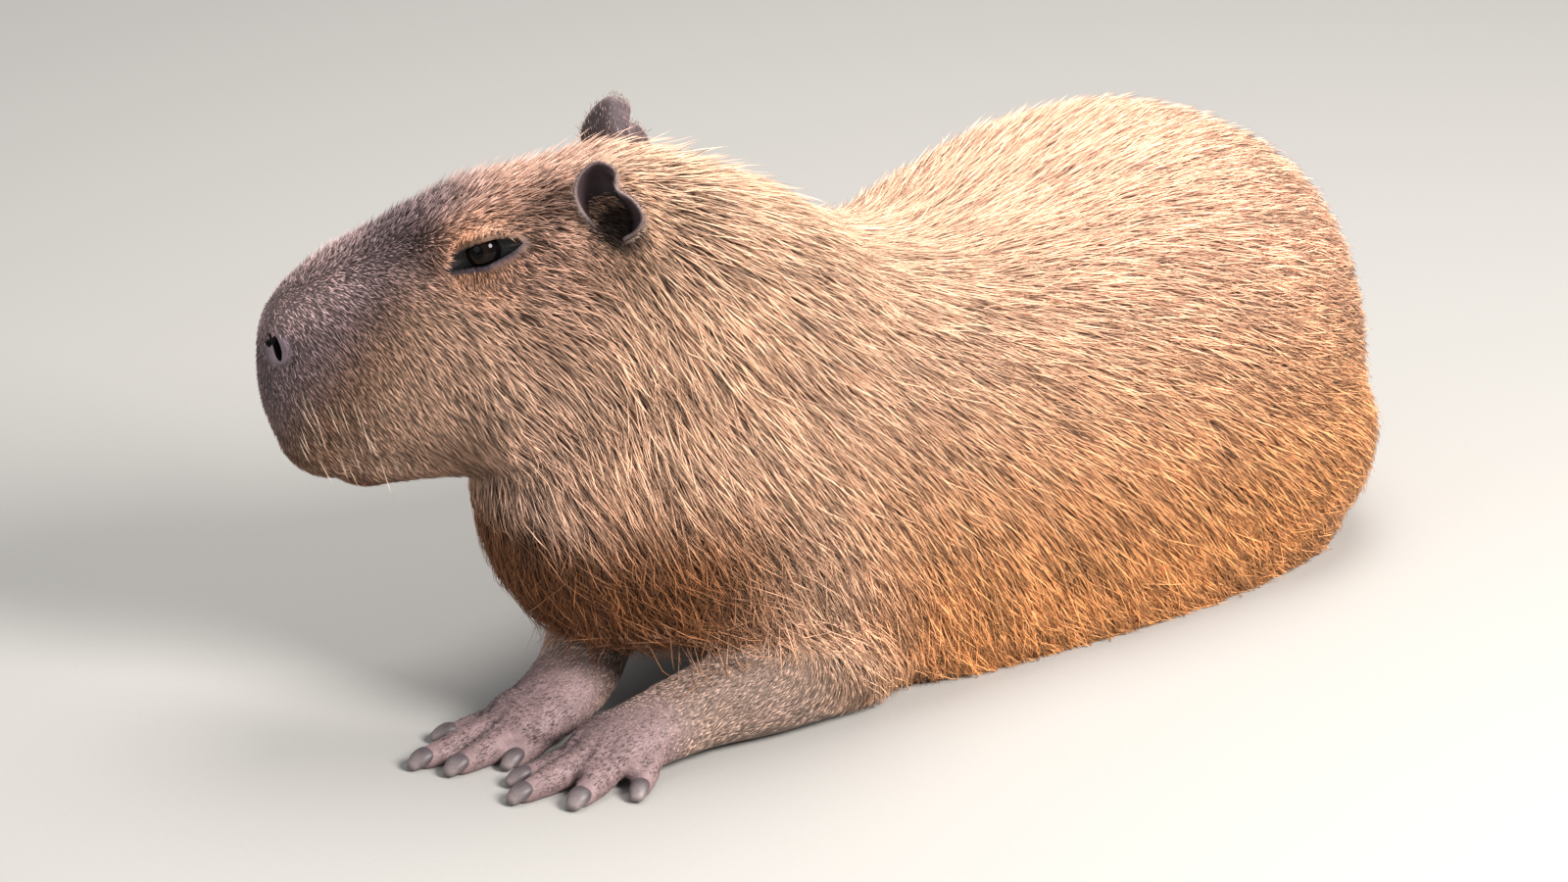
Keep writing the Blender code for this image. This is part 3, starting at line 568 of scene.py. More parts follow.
# %% Creases on the face and wrinkles on the toes
def crease(points, line, depth, width):
    """How far each point sinks towards a line of points."""
    away = np.full(len(points), 9.0)
    for a, b in zip(line[:-1], line[1:]):
        a, b = np.array(a), np.array(b)
        t = np.clip((points - a) @ (b - a) / ((b - a) @ (b - a)), 0, 1)
        away = np.minimum(away, np.linalg.norm(points - a - t[:, None] * (b - a), axis=1))
    u = away / width
    return depth * (np.exp(-u * u * 2.2) - 0.35 * np.exp(-(u - 1.35) ** 2 * 3.0))


at = places(skin)
sunk = np.zeros(len(at))
for side in (-1, 1):
    brow = head_line(side, (0.116, 0.052, 0.345), (0.104, 0.056, 0.3585), (0.086, 0.058, 0.3665),
                     (0.066, 0.060, 0.3650), (0.050, 0.063, 0.359))
    under = head_line(side, (0.114, 0.054, 0.331), (0.100, 0.060, 0.3235), (0.082, 0.064, 0.3225),
                      (0.064, 0.066, 0.331))
    corner = head_line(side, (0.110, 0.053, 0.333), (0.122, 0.051, 0.322), (0.128, 0.050, 0.308))
    lip = head_line(side, (0.236, 0.010, 0.203), (0.226, 0.028, 0.196), (0.205, 0.042, 0.189),
                    (0.178, 0.047, 0.190), (0.150, 0.048, 0.197))
    sunk += crease(at, brow, 0.0016, 0.0042) + crease(at, under, 0.0011, 0.0036)
    sunk += crease(at, corner, 0.0012, 0.0036) + crease(at, lip, 0.0022, 0.0045)
split_lip = head_line(1, (0.243, 0, 0.246), (0.242, 0, 0.215), (0.236, 0, 0.190))
sunk += crease(at, split_lip, 0.0020, 0.0030)
for side in (-1, 1):
    wing = head_line(side, (0.2215, 0.0350, 0.2810), (0.2150, 0.0385, 0.2760), (0.2120, 0.0400, 0.2670),
                     (0.2150, 0.0385, 0.2590))
    sunk += crease(at, wing, 0.0016, 0.0030)
foot_height = ramp(at[:, 2], 0.004, 0.012)
for foot, rows in FEET.items():
    for root, tip, wide in rows:
        start, end = Vector((*root, 0.012)), Vector((*tip, 0.012))
        along = (end - start).normalized()
        reach = (at - np.array(start)) @ np.array(along)
        off = np.linalg.norm((at - np.array(start) - reach[:, None] * np.array(along))[:, :2], axis=1)
        on_toe = ramp(-off, -wide * 1.5, -wide * 0.8) * ramp(reach, -0.020, 0.004)
        on_toe *= 1 - ramp(reach, (end - start).length - 0.012, (end - start).length - 0.004)
        ripple = np.sin(reach * 2 * math.pi / 0.0068 + 3.1 * np.sin(reach * 310.0 + root[1] * 900.0))
        sunk += 0.00055 * on_toe * foot_height * np.maximum(ripple, -0.4)
    for (a, tip_a, _), (b, tip_b, _) in zip(rows[:-1], rows[1:]):
        start = (Vector((*a, 0.028)) + Vector((*b, 0.028))) / 2
        end = start.lerp((Vector((*tip_a, 0.014)) + Vector((*tip_b, 0.014))) / 2, 0.5)
        sunk += crease(at, [start, end], 0.0016, 0.0045)
at -= normals(skin) * sunk[:, None]
moved(skin, at)

# %% [markdown]
# ## Roots for the hair
#
# The coat is planted on this fine surface, before the trunk is thinned and before the eyes and nostrils are
# cut. A tree of its faces finds the nearest place on the skin quickly, which lets each hair follow the
# body's curve.

# %% Remember the fine surface
fine = skin.data
fine.calc_loop_triangles()
FINE_POINTS = places(skin)
FINE_TRIANGLES = np.empty(len(fine.loop_triangles) * 3, np.int32)
fine.loop_triangles.foreach_get("vertices", FINE_TRIANGLES)
FINE_TRIANGLES = FINE_TRIANGLES.reshape(-1, 3)
surface = BVHTree.FromPolygons(FINE_POINTS.tolist(), FINE_TRIANGLES.tolist())
print("planted on", len(FINE_TRIANGLES), "faces")

# %% [markdown]
# ## Openings
#
# The almond of each eye and the nostrils have crisp edges, so they are cut with Booleans after the
# smoothing. The trunk is thinned first, because the coat hides it.

# %% Thin the trunk
hidden = np.minimum(looseness(FINE_POINTS), ramp(coat(FINE_POINTS), 0.2, 0.9))
weighted(skin, "hidden", 0.1 + 0.9 * hidden)
applied(skin, "DECIMATE", ratio=0.285, vertex_group="hidden", vertex_group_factor=0.00003,
        use_collapse_triangulate=True)
print("thinned to", len(skin.data.polygons), "faces")


# %% Cut the eyes and the nostrils
def cut(obj, cutter):
    """Takes a closed form out of the skin. The manifold solver keeps a dense closed mesh closed."""
    applied(obj, "BOOLEAN", operation="DIFFERENCE", solver="MANIFOLD", object=cutter)
    bpy.data.objects.remove(cutter)


for side in (-1, 1):
    outline = [(f, h) for f, _, h in lid_line(side, LID_RISE, 25)]
    outline += [(f, h) for f, _, h in lid_line(side, -LID_DROP, 25)][-2:0:-1]
    rings = []
    for left in (EYE[1] + 0.0045, EYE[1] + 0.030):
        rings.append([head_point(f, side * left, h) for f, h in outline])
    cut(skin, stacked("opening", rings))
    cut(skin, round_mass("socket", eye_place(side), (EYE_RADIUS + 0.0002,) * 3, FACING))
    turn, lean = FACING + side * NOSTRIL_TURN, side * math.radians(26)
    for name, place, radii in (
            ("pit", (0.2235, side * 0.0315, 0.2695), (0.0120, 0.0038, 0.0088)),
            ("front_of_pit", (0.2305, side * 0.0262, 0.2735), (0.0050, 0.0046, 0.0050))):
        cut(skin, round_mass(name, head_point(*place), radii, turn, lean))
chosen([skin])
bpy.ops.object.shade_smooth_by_angle(angle=math.radians(50))
print("skin", len(skin.data.polygons), "faces")

# %% [markdown]
# ## The skin's markings
#
# Skin and hair share one set of markings, worked out from where a point is on the animal: a purplish grey
# nose, a brown muzzle, an orange tint round the eye, a tan neck, a light peach back, a golden lower flank,
# grey-brown legs, and a golden-brown chest that is partly painted shade, with a painted shadow under the jaw.
# Each function of place gives one colour, which is kept on the mesh as an attribute.

# %% Colours from sRGB hex values
def linear(code):
    """An sRGB hex value such as #B08050 as linear red, green and blue."""
    parts = np.array([int(code[i:i + 2], 16) / 255 for i in (1, 3, 5)])
    return np.where(parts <= 0.04045, parts / 12.92, ((parts + 0.055) / 1.055) ** 2.4)


COAT_TAN = linear("#E8BC9C")
COAT_PEACH = linear("#F9C4A4")
COAT_GOLD = linear("#F2AA68")
CHEEK_TAN = linear("#D4AC92")
CROWN_BROWN = linear("#CBA18C")
MUZZLE_BROWN = linear("#99735B")
NOSE_GREY = linear("#8E7777")
EYE_ORANGE = linear("#BF8358")
LEG_BROWN = linear("#D0B09E")
FOOT_GREY = linear("#87706F")
# The chest's golden brown darkened as painted shade; it also paints the shadow under the jaw.
CHEST_BROWN_AND_SHADOW = linear("#84490F")
WORN_GREY = linear("#C0A9A2")
LIP_RED = linear("#8A5540")
BRIDGE_MAUVE = linear("#D0B2AE")


def tinted(colours, colour, amount):
    """Brings rows of colour towards one colour by an amount for each row."""
    return colours + (colour - colours) * amount[:, None]


def leg_shares(points):
    """1 on the forelegs and 1 on the hind legs, fading into the body."""
    x, y, z = points.T
    fore = ramp(-(x + 0.9 * z), -0.215, -0.13) * ramp(-z, -0.105, -0.075)
    return fore, ramp(y, 0.13, 0.18) * ramp(-z, -0.11, -0.08)


# Patches on each side of the head: colour, amount, place as forward, left and height, and radius.
HEAD_PATCHES = [
    (LIP_RED, 0.8, (0.178, 0.020, 0.170), 0.022),
    (EYE_ORANGE, 0.70, (0.092, 0.055, 0.345), 0.048),
    (COAT_PEACH, 0.60, (0.084, 0.054, 0.3645), 0.017),
    (MUZZLE_BROWN, 0.45, (0.060, 0.070, 0.300), 0.040),
    (MUZZLE_BROWN * 0.6, 0.7, (-0.006, 0.064, 0.350), 0.026),
    (MUZZLE_BROWN * 0.75, 0.85, (0.028, 0.068, 0.343), 0.038),
]


def markings_and_shade(points):
    """The coat's colour at each point, with painted shade on the chest and a painted shadow under the jaw."""
    forward = head_coords(points)[0]
    x, y, z = points.T
    on_head = ramp(forward, -0.02, 0.06) * ramp(z, 0.158, 0.182)
    brow = 0.45 * ramp(z - 0.5 * forward, 0.235, 0.285) * ramp(forward, 0.09, 0.15)
    bridge = 0.85 * ramp(forward, 0.15, 0.20) * ramp(z + 0.5 * forward, 0.380, 0.405)
    colours = np.tile(COAT_TAN, (len(points), 1))
    for colour, amount in (
            (COAT_PEACH, ramp(x, 0.16, 0.48) * ramp(z + 0.25 * x, 0.22, 0.40)),
            (COAT_GOLD, 0.90 * ramp(-z, -0.27, -0.06) * ramp(x + 0.4 * z, 0.16, 0.26)),
            # The chest is partly golden brown and partly painted shade, and the patch under the jaw is a
            # painted shadow.
            (CHEST_BROWN_AND_SHADOW, 0.88 * (1 - ramp(x, 0.02, 0.12)) * ramp(-z, -0.24, -0.17)),
            (CHEST_BROWN_AND_SHADOW, 0.8 * near(points, head_point(0.03, 0.0, 0.150), 0.09)),
            (WORN_GREY, 0.75 * near(points, (0.270, -0.165, 0.262), 0.030)),
            (WORN_GREY, 0.60 * near(points, (0.282, -0.175, 0.240), 0.024)),
            (CHEEK_TAN, on_head),
            (CROWN_BROWN, on_head * ramp(z, 0.30, 0.34)),
            (MUZZLE_BROWN, on_head * ramp(forward + 0.35 * (z - 0.24), 0.130, 0.195)),
            (NOSE_GREY, on_head * ramp(forward + 0.75 * (z - 0.25), 0.165, 0.225)),
            (NOSE_GREY, on_head * brow),
            (BRIDGE_MAUVE, on_head * bridge)):
        colours = tinted(colours, colour, amount)
    for side in (-1, 1):
        for colour, amount, (ahead, left, height), radius in HEAD_PATCHES:
            patch = near(points, head_point(ahead, side * left, height), radius)
            colours = tinted(colours, colour, amount * patch)
        ear_root = ramp(near(points, head_point(0.001, side * 0.056, 0.368), 0.026), 0.1, 0.5)
        colours = tinted(colours, MUZZLE_BROWN * 0.15, ear_root)
    legs = np.maximum(*leg_shares(points))
    colours = tinted(colours, LEG_BROWN, legs)
    fore_toes = ramp(-x, -0.03, 0.02) * ramp(-z, -0.06, -0.04)
    hind_toes = ramp(y, 0.20, 0.225) * ramp(-z, -0.05, -0.03)
    return tinted(colours, FOOT_GREY, np.maximum(fore_toes, hind_toes) * legs)


def coloured(obj, name, colours):
    """Keeps one linear colour per point on the mesh."""
    layer = obj.data.attributes.new(name, "FLOAT_COLOR", "POINT")
    layer.data.foreach_set("color", np.c_[colours, np.ones(len(colours))].astype(np.float32).ravel())


def almond(points, side, long, high):
    """1 within an almond-shaped patch over one eye."""
    ahead, rise = (EYE_FRONT[i] - EYE_REAR[i] for i in (0, 1))
    along = (HEAD_FORWARD * ahead + UP * rise).normalized()
    height = (EYE_FRONT[1] + EYE_REAR[1]) / 2 + 0.0026
    middle = head_point((EYE_FRONT[0] + EYE_REAR[0]) / 2, side * 0.058, height)
    off = points - np.array(middle)
    far = np.hypot((off @ np.array(along)) / long, (off @ np.array(along.cross(HEAD_LEFT))) / high)
    return ((far < 1.0) & (np.abs(off @ LEFT_ROW) < 0.03)) * 1.0


DARK_SKIN_AND_COAT_SHADE = linear("#4A3020")
BARE_GREY = linear("#75656C")
BLACK_LID_AND_SHADE = linear("#0B0707")
LID_PURPLE = linear("#42353C")
at = places(skin)
forward, _, height = head_coords(at)
# Skin is about a quarter of the coat's colour, and darker again where the coat is long: partly its own dark
# colour, partly painted shade under the hair.
shade = markings_and_shade(at) * 0.26
shade = tinted(shade, DARK_SKIN_AND_COAT_SHADE, 0.55 * coat(at))
low = ramp(-at[:, 2], -0.07, -0.045)
feet = np.maximum(ramp(-at[:, 0], -0.05, 0.0) * low, ramp(at[:, 1], 0.19, 0.22) * low)
shade = tinted(shade, FOOT_GREY * 0.92, feet)
for side in (-1, 1):
    from_nostril = distance(at, head_point(0.222, side * 0.030, 0.2695))
    shade = tinted(shade, BARE_GREY, 1 - ramp(from_nostril, 0.009, 0.015))
    from_eye = distance(at, eye_place(side)) - 0.012
    inside = np.nonzero(np.minimum(from_nostril, from_eye) < 0.022)[0]
    deep = np.zeros(len(at))
    deep[inside] = [surface.find_nearest(at[i])[3] for i in inside]
    edges = lid_line(side, LID_RISE, 15) + lid_line(side, -LID_DROP, 15)
    line = np.array([head_point(*spot) for spot in edges])
    tree = tree_of(line, range(len(line)))
    lids = np.nonzero(np.linalg.norm(at - line.mean(axis=0), axis=1) < 0.045)[0]
    away = np.full(len(at), 1.0)
    away[lids] = [tree.find(at[i])[2] for i in lids]
    below = ramp(-(height - 0.3335 - 0.35 * (0.112 - forward)), -0.002, 0.001)
    shade = tinted(shade, LID_PURPLE, (1 - ramp(away, 0.0030, 0.0046)) * below)
    # The lids' rims are their own black. The rest of the almond is painted black as well: partly dark skin in
    # its corners, partly painted shade in the opening.
    rim = 1 - ramp(away, 0.0010, 0.0026) * (0.3 + 0.7 * (away > 0.0014))
    shade = tinted(shade, BLACK_LID_AND_SHADE, np.maximum(rim, almond(at, side, 0.0270, 0.0078)))
    # Points lying deeper than the fine surface, in the eye's opening and the nostril's pit, get painted shade.
    shade = tinted(shade, BLACK_LID_AND_SHADE * 0.3, ramp(deep, 0.0003, 0.0016))
coloured(skin, "marking", shade)


# %% [markdown]
# ## Which way the coat lies
#
# On the real animal the hair runs back from the nose over the forehead and cheeks, down over the shoulder,
# back and down along the flank, and fans out over the rump. The direction at each root is a blend of these
# streams, laid into the plane of the skin.

# %% The lie of the hair
def unit(rows):
    return rows / np.maximum(np.linalg.norm(rows, axis=1), 1e-9)[:, None]


def lie(points, up):
    """The direction in which each hair leaves its root, in the plane of the skin."""
    forward = head_coords(points)[0]
    x, _, z = points.T
    on_head = ramp(forward, -0.03, 0.05) * ramp(z, 0.148, 0.178)
    fall = 1.45 - 0.75 * ramp(x, 0.12, 0.45) - 0.50 * ramp(x, 0.45, 0.68) + 0.55 * ramp(-z, -0.20, -0.08)
    body = unit(np.c_[np.ones(len(x)), np.zeros(len(x)), -fall])
    drop = 0.25 + 0.75 * ramp(-z, -0.34, -0.25)
    face = unit(-FORWARD_ROW[None] - np.outer(drop, UP_ROW))
    way = body + (face - body) * on_head[:, None]
    for side in (-1, 1):
        off = points - np.array(head_point(0.086, side * 0.058, 0.3435))
        ahead = off @ FORWARD_ROW
        rise = off @ UP_ROW + 0.34 * ahead
        apart = unit(np.outer(np.minimum(ahead, 0.0) * 0.5, FORWARD_ROW) + np.outer(rise, UP_ROW))
        away = np.hypot(ahead / 1.6, rise) + 0.5 * np.abs(off @ LEFT_ROW)
        round_eye = 1 - ramp(away, 0.013, 0.028)
        way = way + (apart + 0.25 * face - way) * round_eye[:, None]
    for share, heading in zip(leg_shares(points), ((-1.0, 0.0, -0.25), (-1.0, 0.3, -0.2))):
        way = way + (np.array(heading)[None] - way) * share[:, None]
    return unit(way - up * (way * up).sum(axis=1)[:, None])


# %% [markdown]
# ## How long and how wide each hair is
#
# The coat is about 5 cm long on the trunk and neck, 1 to 4 cm on the cheek, and only a few millimetres
# round the eyes and on the feet. A capybara's hair is unusually coarse, and one modelled hair stands for a
# flat lock of a few real ones.

# %% Length and width of a hair by place
def hair_length(points):
    forward = head_coords(points)[0]
    x, y, z = points.T
    length = 0.048 - 0.008 * ramp(x, 0.35, 0.60)
    on_head = ramp(forward, -0.035, 0.03) * ramp(z, 0.150, 0.175)
    cheek = 0.037 - 0.028 * ramp(forward, 0.02, 0.17)
    top = 0.024 - 0.016 * ramp(forward, 0.05, 0.17)
    face = cheek + (top - cheek) * ramp(z, 0.29, 0.345)
    face = face * (1 - 0.45 * ramp(forward, 0.19, 0.235))
    length = length + (face - length) * on_head
    length = length + 0.014 * ramp(-z, -0.17, -0.10) * ramp(-x, -0.17, -0.08)
    for side in (-1, 1):
        eye = distance(points, head_point(EYE[0], side * (EYE[1] + 0.01), EYE[2]))
        length = length * (0.36 + 0.64 * ramp(eye, 0.018, 0.036))
        ear = distance(points, head_point(0.0, side * 0.055, 0.370))
        length = length * (0.40 + 0.60 * ramp(ear, 0.022, 0.050))
    fore = ramp(-(x + 0.8 * z), -0.24, -0.16) * ramp(-z, -0.11, -0.07)
    hind = ramp(y, 0.13, 0.18) * ramp(-z, -0.12, -0.08)
    leg = np.maximum(fore, hind)
    length = length + (0.0115 - length) * leg
    fore_foot = ramp(-x, -0.06, 0.0) * ramp(-z, -0.07, -0.05)
    foot = np.maximum(fore_foot, ramp(y, 0.19, 0.22) * ramp(-z, -0.06, -0.04))
    return length + (0.0050 - length) * foot * leg


def bare(points):
    """1 where no hair grows: the nostrils' rims, the lids' edges, the soles and the toes' tips."""
    none = 1 - ramp(points[:, 2], 0.004, 0.007)
    for side in (-1, 1):
        nostril = distance(points, head_point(0.226, side * 0.031, 0.2700))
        none = np.maximum(none, 1 - ramp(nostril, 0.0095, 0.0120))
        none = np.maximum(none, almond(points, side, 0.0290, 0.0092))
    for rows in FEET.values():
        for _, tip, _ in rows:
            none = np.maximum(none, 1 - ramp(distance(points[:, :2], tip), 0.010, 0.014))
    return none


# %% [markdown]
# ## Making hair out of mesh
#
# A hair is a closed sliver with three sides: a point at the root, one or two rings, and a point at the tip,
# 6 or 12 triangles in all. Two hundred thousand of them are built from arrays, as objects would be far too
# slow. Each one steps along the skin with the lie of the coat, leans towards its neighbours' common tip as
# real locks do, and lifts a little off the skin. There are three kinds: a dense under coat, fewer and
# longer guard hairs over it, and short fine hair on the face and legs.

# %% Plant roots
def planted(count, density):
    """Roots spread over the fine surface by a density for each face: place and normal."""
    corners = FINE_POINTS[FINE_TRIANGLES]
    cross = np.cross(corners[:, 1] - corners[:, 0], corners[:, 2] - corners[:, 0])
    middle = corners.mean(axis=1)
    share = np.linalg.norm(cross, axis=1) * density(middle) * (1 - bare(middle))
    share *= 1 - ramp(-unit(cross)[:, 2], 0.30, 0.75) * ramp(-middle[:, 2], -0.12, -0.09)
    faces = chance.choice(len(share), size=count, replace=False, p=share / share.sum())
    u, v = chance.rand(2, count)
    flip = u + v > 1
    u, v = np.where(flip, 1 - u, u), np.where(flip, 1 - v, v)
    a, b, c = corners[faces].transpose(1, 0, 2)
    return a + (b - a) * u[:, None] + (c - a) * v[:, None], unit(cross[faces])


def walked(roots, up, way, length, shares):
    """Each hair's path: from its root it steps along the skin by shares of its length, bending with it."""
    path, ups = [roots], [up]
    here, heading = roots, way
    for share in shares:
        ahead = here + heading * (length * share)[:, None]
        found = [surface.find_nearest(p)[:2] for p in ahead.tolist()]
        near_place = np.array([f[0] for f in found])
        up = unit(0.5 * up + np.array([f[1] for f in found]))
        over = ((ahead - near_place) * up).sum(axis=1) > 0
        free = np.where(over, 0.25, 0.0)[:, None]
        here = near_place + (ahead - near_place) * free
        heading = unit(heading - up * (heading * up).sum(axis=1)[:, None])
        path.append(here)
        ups.append(up)
    return np.array(path), np.array(ups)


def unrolled(points):
    """Each point's place on an unwrap of the body's own shape: round the trunk, the head and each leg."""
    forward, left, height = head_coords(points)
    x, y, z = points.T
    round_trunk = np.arctan2(y + 0.02, z - 0.13) / (2 * math.pi) + 0.5
    u = 0.01 + 0.68 * (x + 0.05) / 0.82
    v = 0.01 + 0.98 * round_trunk
    head = (forward > 0.0) & (z > 0.15)
    round_head = np.arctan2(left, height - 0.26) / (2 * math.pi) + 0.5
    u = np.where(head, 0.72 + 0.27 * forward / 0.245, u)
    v = np.where(head, 0.32 + 0.67 * round_head, v)
    for i, (here, (low_x, high_x, mid_y, mid_z)) in enumerate((
            ((z < 0.07) & (x < 0.12) & (y < -0.0945), (-0.12, 0.12, -0.14, 0.02)),
            ((z < 0.07) & (x < 0.12) & (y >= -0.0945), (-0.12, 0.12, -0.04, 0.02)),
            ((z < 0.07) & (y > 0.19) & (x < 0.44), (0.24, 0.44, 0.24, 0.01)),
            ((z < 0.07) & (y > 0.19) & (x >= 0.44), (0.42, 0.68, 0.28, 0.01)))):
        turn = np.arctan2(y - mid_y, z - mid_z) / (2 * math.pi) + 0.5
        u = np.where(here, 0.72 + 0.27 * np.clip((x - low_x) / (high_x - low_x), 0, 1), u)
        v = np.where(here, 0.01 + 0.075 * i + 0.065 * turn, v)
    return np.clip(np.c_[u, v], 0.004, 0.996)


# %% Build hairs as one mesh
def hair_mesh(name, path, ups, width, thick, colours, tone, shares=(0.5, 0.5)):
    """Closed three-sided slivers along paths of three or four stations, with their faces turned outwards."""
    stations, count = path.shape[:2]
    reached = np.cumsum((0.0, *shares))
    rings = stations - 2
    points = np.empty((count, 2 + 3 * rings, 3))
    points[:, 0] = path[0]
    along_at = np.zeros((count, 2 + 3 * rings))
    across_at = np.full((count, 2 + 3 * rings), 0.5)
    for r in range(rings):
        along = unit(path[r + 2] - path[r])
        side = unit(np.cross(along, ups[r + 1]))
        rise = np.cross(side, along)
        wide = (width * (1.0 if r == 0 else 0.72))[:, None] / 2
        for k, (a, b) in enumerate(((-1.0, -0.3), (1.0, -0.3), (0.0, 0.7))):
            points[:, 1 + 3 * r + k] = path[r + 1] + side * wide * a + rise * (wide * 2 * thick) * b
            along_at[:, 1 + 3 * r + k] = reached[r + 1]
            across_at[:, 1 + 3 * r + k] = 0.5 + 0.5 * a
    last = 1 + 3 * rings
    points[:, last] = path[-1]
    along_at[:, last] = 1.0
    faces = [(0, 2, 1), (0, 3, 2), (0, 1, 3)]
    for r in range(rings - 1):
        for k in range(3):
            a, b = 1 + 3 * r + k, 1 + 3 * r + (k + 1) % 3
            faces += [(a, b, b + 3), (a, b + 3, a + 3)]
    top = 1 + 3 * (rings - 1)
    faces += [(top, top + 1, last), (top + 1, top + 2, last), (top + 2, top, last)]
    size = 2 + 3 * rings
    outward = np.array(faces)[:, ::-1]
    corners = (outward[None] + (np.arange(count) * size)[:, None, None]).reshape(-1)
    mesh = bpy.data.meshes.new(name)
    mesh.vertices.add(count * size)
    mesh.vertices.foreach_set("co", points.astype(np.float32).ravel())
    mesh.loops.add(len(corners))
    mesh.loops.foreach_set("vertex_index", corners.astype(np.int32))
    mesh.polygons.add(len(corners) // 3)
    mesh.polygons.foreach_set("loop_start", np.arange(0, len(corners), 3, dtype=np.int32))
    mesh.update(calc_edges=True)
    mesh.polygons.foreach_set("use_smooth", np.ones(len(mesh.polygons), bool))
    spots = unrolled(path[0])[:, None] + 0.003 * (np.stack([along_at, across_at], axis=2) - 0.5)
    mesh.uv_layers.new(name="OFBake")
    spots = spots.reshape(-1, 2)[corners].astype(np.float32)
    mesh.uv_layers["OFBake"].data.foreach_set("uv", spots.ravel())
    obj = bpy.data.objects.new(name, mesh)
    bpy.context.scene.collection.objects.link(obj)
    coloured(obj, "marking", np.repeat(colours, size, axis=0))
    for key, values in (("along", along_at.ravel()), ("tone", np.repeat(tone, size))):
        layer = mesh.attributes.new(key, "FLOAT", "POINT")
        layer.data.foreach_set("value", values.astype(np.float32))
    return obj


def turned(way, up, angle):
    """Directions turned in the plane of the skin."""
    return way * np.cos(angle)[:, None] + np.cross(up, way) * np.sin(angle)[:, None]


def gathered(path, reached, spacing, pull):
    """Leans the hairs of one lock towards their shared tip, more towards the end of each hair."""
    roots = path[0]
    order = chance.permutation(len(roots))[:max(int(len(roots) / spacing), 2)]
    tree = tree_of(roots, order)
    lead = np.array([tree.find(p)[1] for p in roots.tolist()])
    for s, t in enumerate(reached[1:], 1):
        path[s] += (path[s][lead] - path[s]) * (pull * t ** 1.5)[:, None]
    return path


COATS = []
COAT_SPLIT = 3  # pieces for each kind of hair


def coat_pieces(name, count, density, shares, width, thick, pull, jitter, curl, tones, longer):
    """Plants, walks, gathers and lifts one kind of hair, and builds it in pieces along the body.

    The shares are the steps of a hair's length. Pull leans it to its lock, jitter turns it by degrees, curl
    bends it, the tones are its darkest and palest, and longer scales its length.
    """
    roots, up = planted(count, density)
    length = hair_length(roots) * (0.72 + 0.5 * chance.rand(count)) * longer
    way = turned(lie(roots, up), up, math.radians(jitter) * chance.randn(count))
    path, ups = walked(roots, up, way, length, shares)
    reached = np.cumsum((0.0, *shares))
    path = gathered(path, reached, 7.0, pull * (0.3 + 0.9 * chance.rand(count)))
    reach = length * hair_lift(roots) * (0.35 + 1.1 * chance.rand(count) ** 1.5)
    bend = curl(roots) * length * chance.randn(count)
    for s, t in enumerate(reached):
        side = np.cross(unit(path[-1] - path[0]), ups[s])
        path[s] += ups[s] * (reach * t ** 1.1 - 0.0011 * (1 - t) + 0.0003)[:, None]
        path[s] += side * (bend * math.sin(math.pi * 1.4 * t))[:, None]
    path[:, :, 2] = np.maximum(path[:, :, 2], 0.0008)
    wide = width * (0.75 + 0.5 * chance.rand(count))
    colours = markings_and_shade(roots)
    tone = tones[0] + (tones[1] - tones[0]) * chance.rand(count)
    order = np.argsort(roots[:, 0] - 0.3 * roots[:, 2])
    for i, part in enumerate(np.array_split(order, COAT_SPLIT)):
        COATS.append(hair_mesh(f"{name}_{i + 1}", path[:, part], ups[:, part], wide[part], thick,
                               colours[part], tone[part], shares))
    print(name, count, "hairs,", sum(len(p.data.polygons) for p in COATS), "triangles of coat so far")


def hair_lift(points):
    """How far a hair's tip stands off the skin, as a share of its length."""
    forward, _, height = head_coords(points)
    share = 0.12 + 0.06 * ramp(points[:, 2], 0.20, 0.30)
    share = share + (0.36 - share) * ramp(forward, -0.06, 0.0) * ramp(height, 0.32, 0.36)
    share = share + (0.24 - share) * ramp(forward, 0.11, 0.17) * ramp(height, 0.16, 0.20)
    bridge = ramp(height - 0.368 + 0.45 * (forward - 0.06), 0.0, 0.012) * ramp(forward, 0.07, 0.12)
    return share + (0.60 - share) * bridge


def short_haired(points):
    """1 on the face and the legs, where short fine hair grows."""
    return 1 - ramp(hair_length(points), 0.017, 0.026)


def short_density(points):
    """Short hair stands closer together on the head than on the legs."""
    return short_haired(points) * (1.0 + 0.9 * ramp(points[:, 2], 0.14, 0.17))


def long_density(points):
    return 1 - short_haired(points)


def chest_curl(points):
    """How far a hair bends sideways, as a share of its length: most on the chest."""
    x, _, z = points.T
    return 0.05 + 0.16 * ramp(-z, -0.20, -0.13) * ramp(-x, -0.12, -0.02) + 0.06 * ramp(-z, -0.12, -0.04)


coat_pieces("under_coat", 88000, long_density, shares=(0.60, 0.40), width=0.00095, thick=0.45, pull=0.30,
            jitter=6.0, curl=chest_curl, tones=(0.0, 0.75), longer=0.90)
coat_pieces("guard_hair", 36000, long_density, shares=(0.36, 0.38, 0.26), width=0.00080, thick=0.45, pull=0.42,
            jitter=4.5, curl=chest_curl, tones=(0.45, 1.0), longer=1.22)
coat_pieces("face_and_leg_hair", 78000, short_density, shares=(0.55, 0.45), width=0.00058, thick=0.50,
            pull=0.22, jitter=9.0, curl=lambda points: 0.03, tones=(0.0, 1.0), longer=1.0)

# %% [markdown]
# ## Whiskers
#
# Long pale bristles hang from the lower half of the muzzle, thicker than any other hair on the face. They
# droop back and down under their own weight.

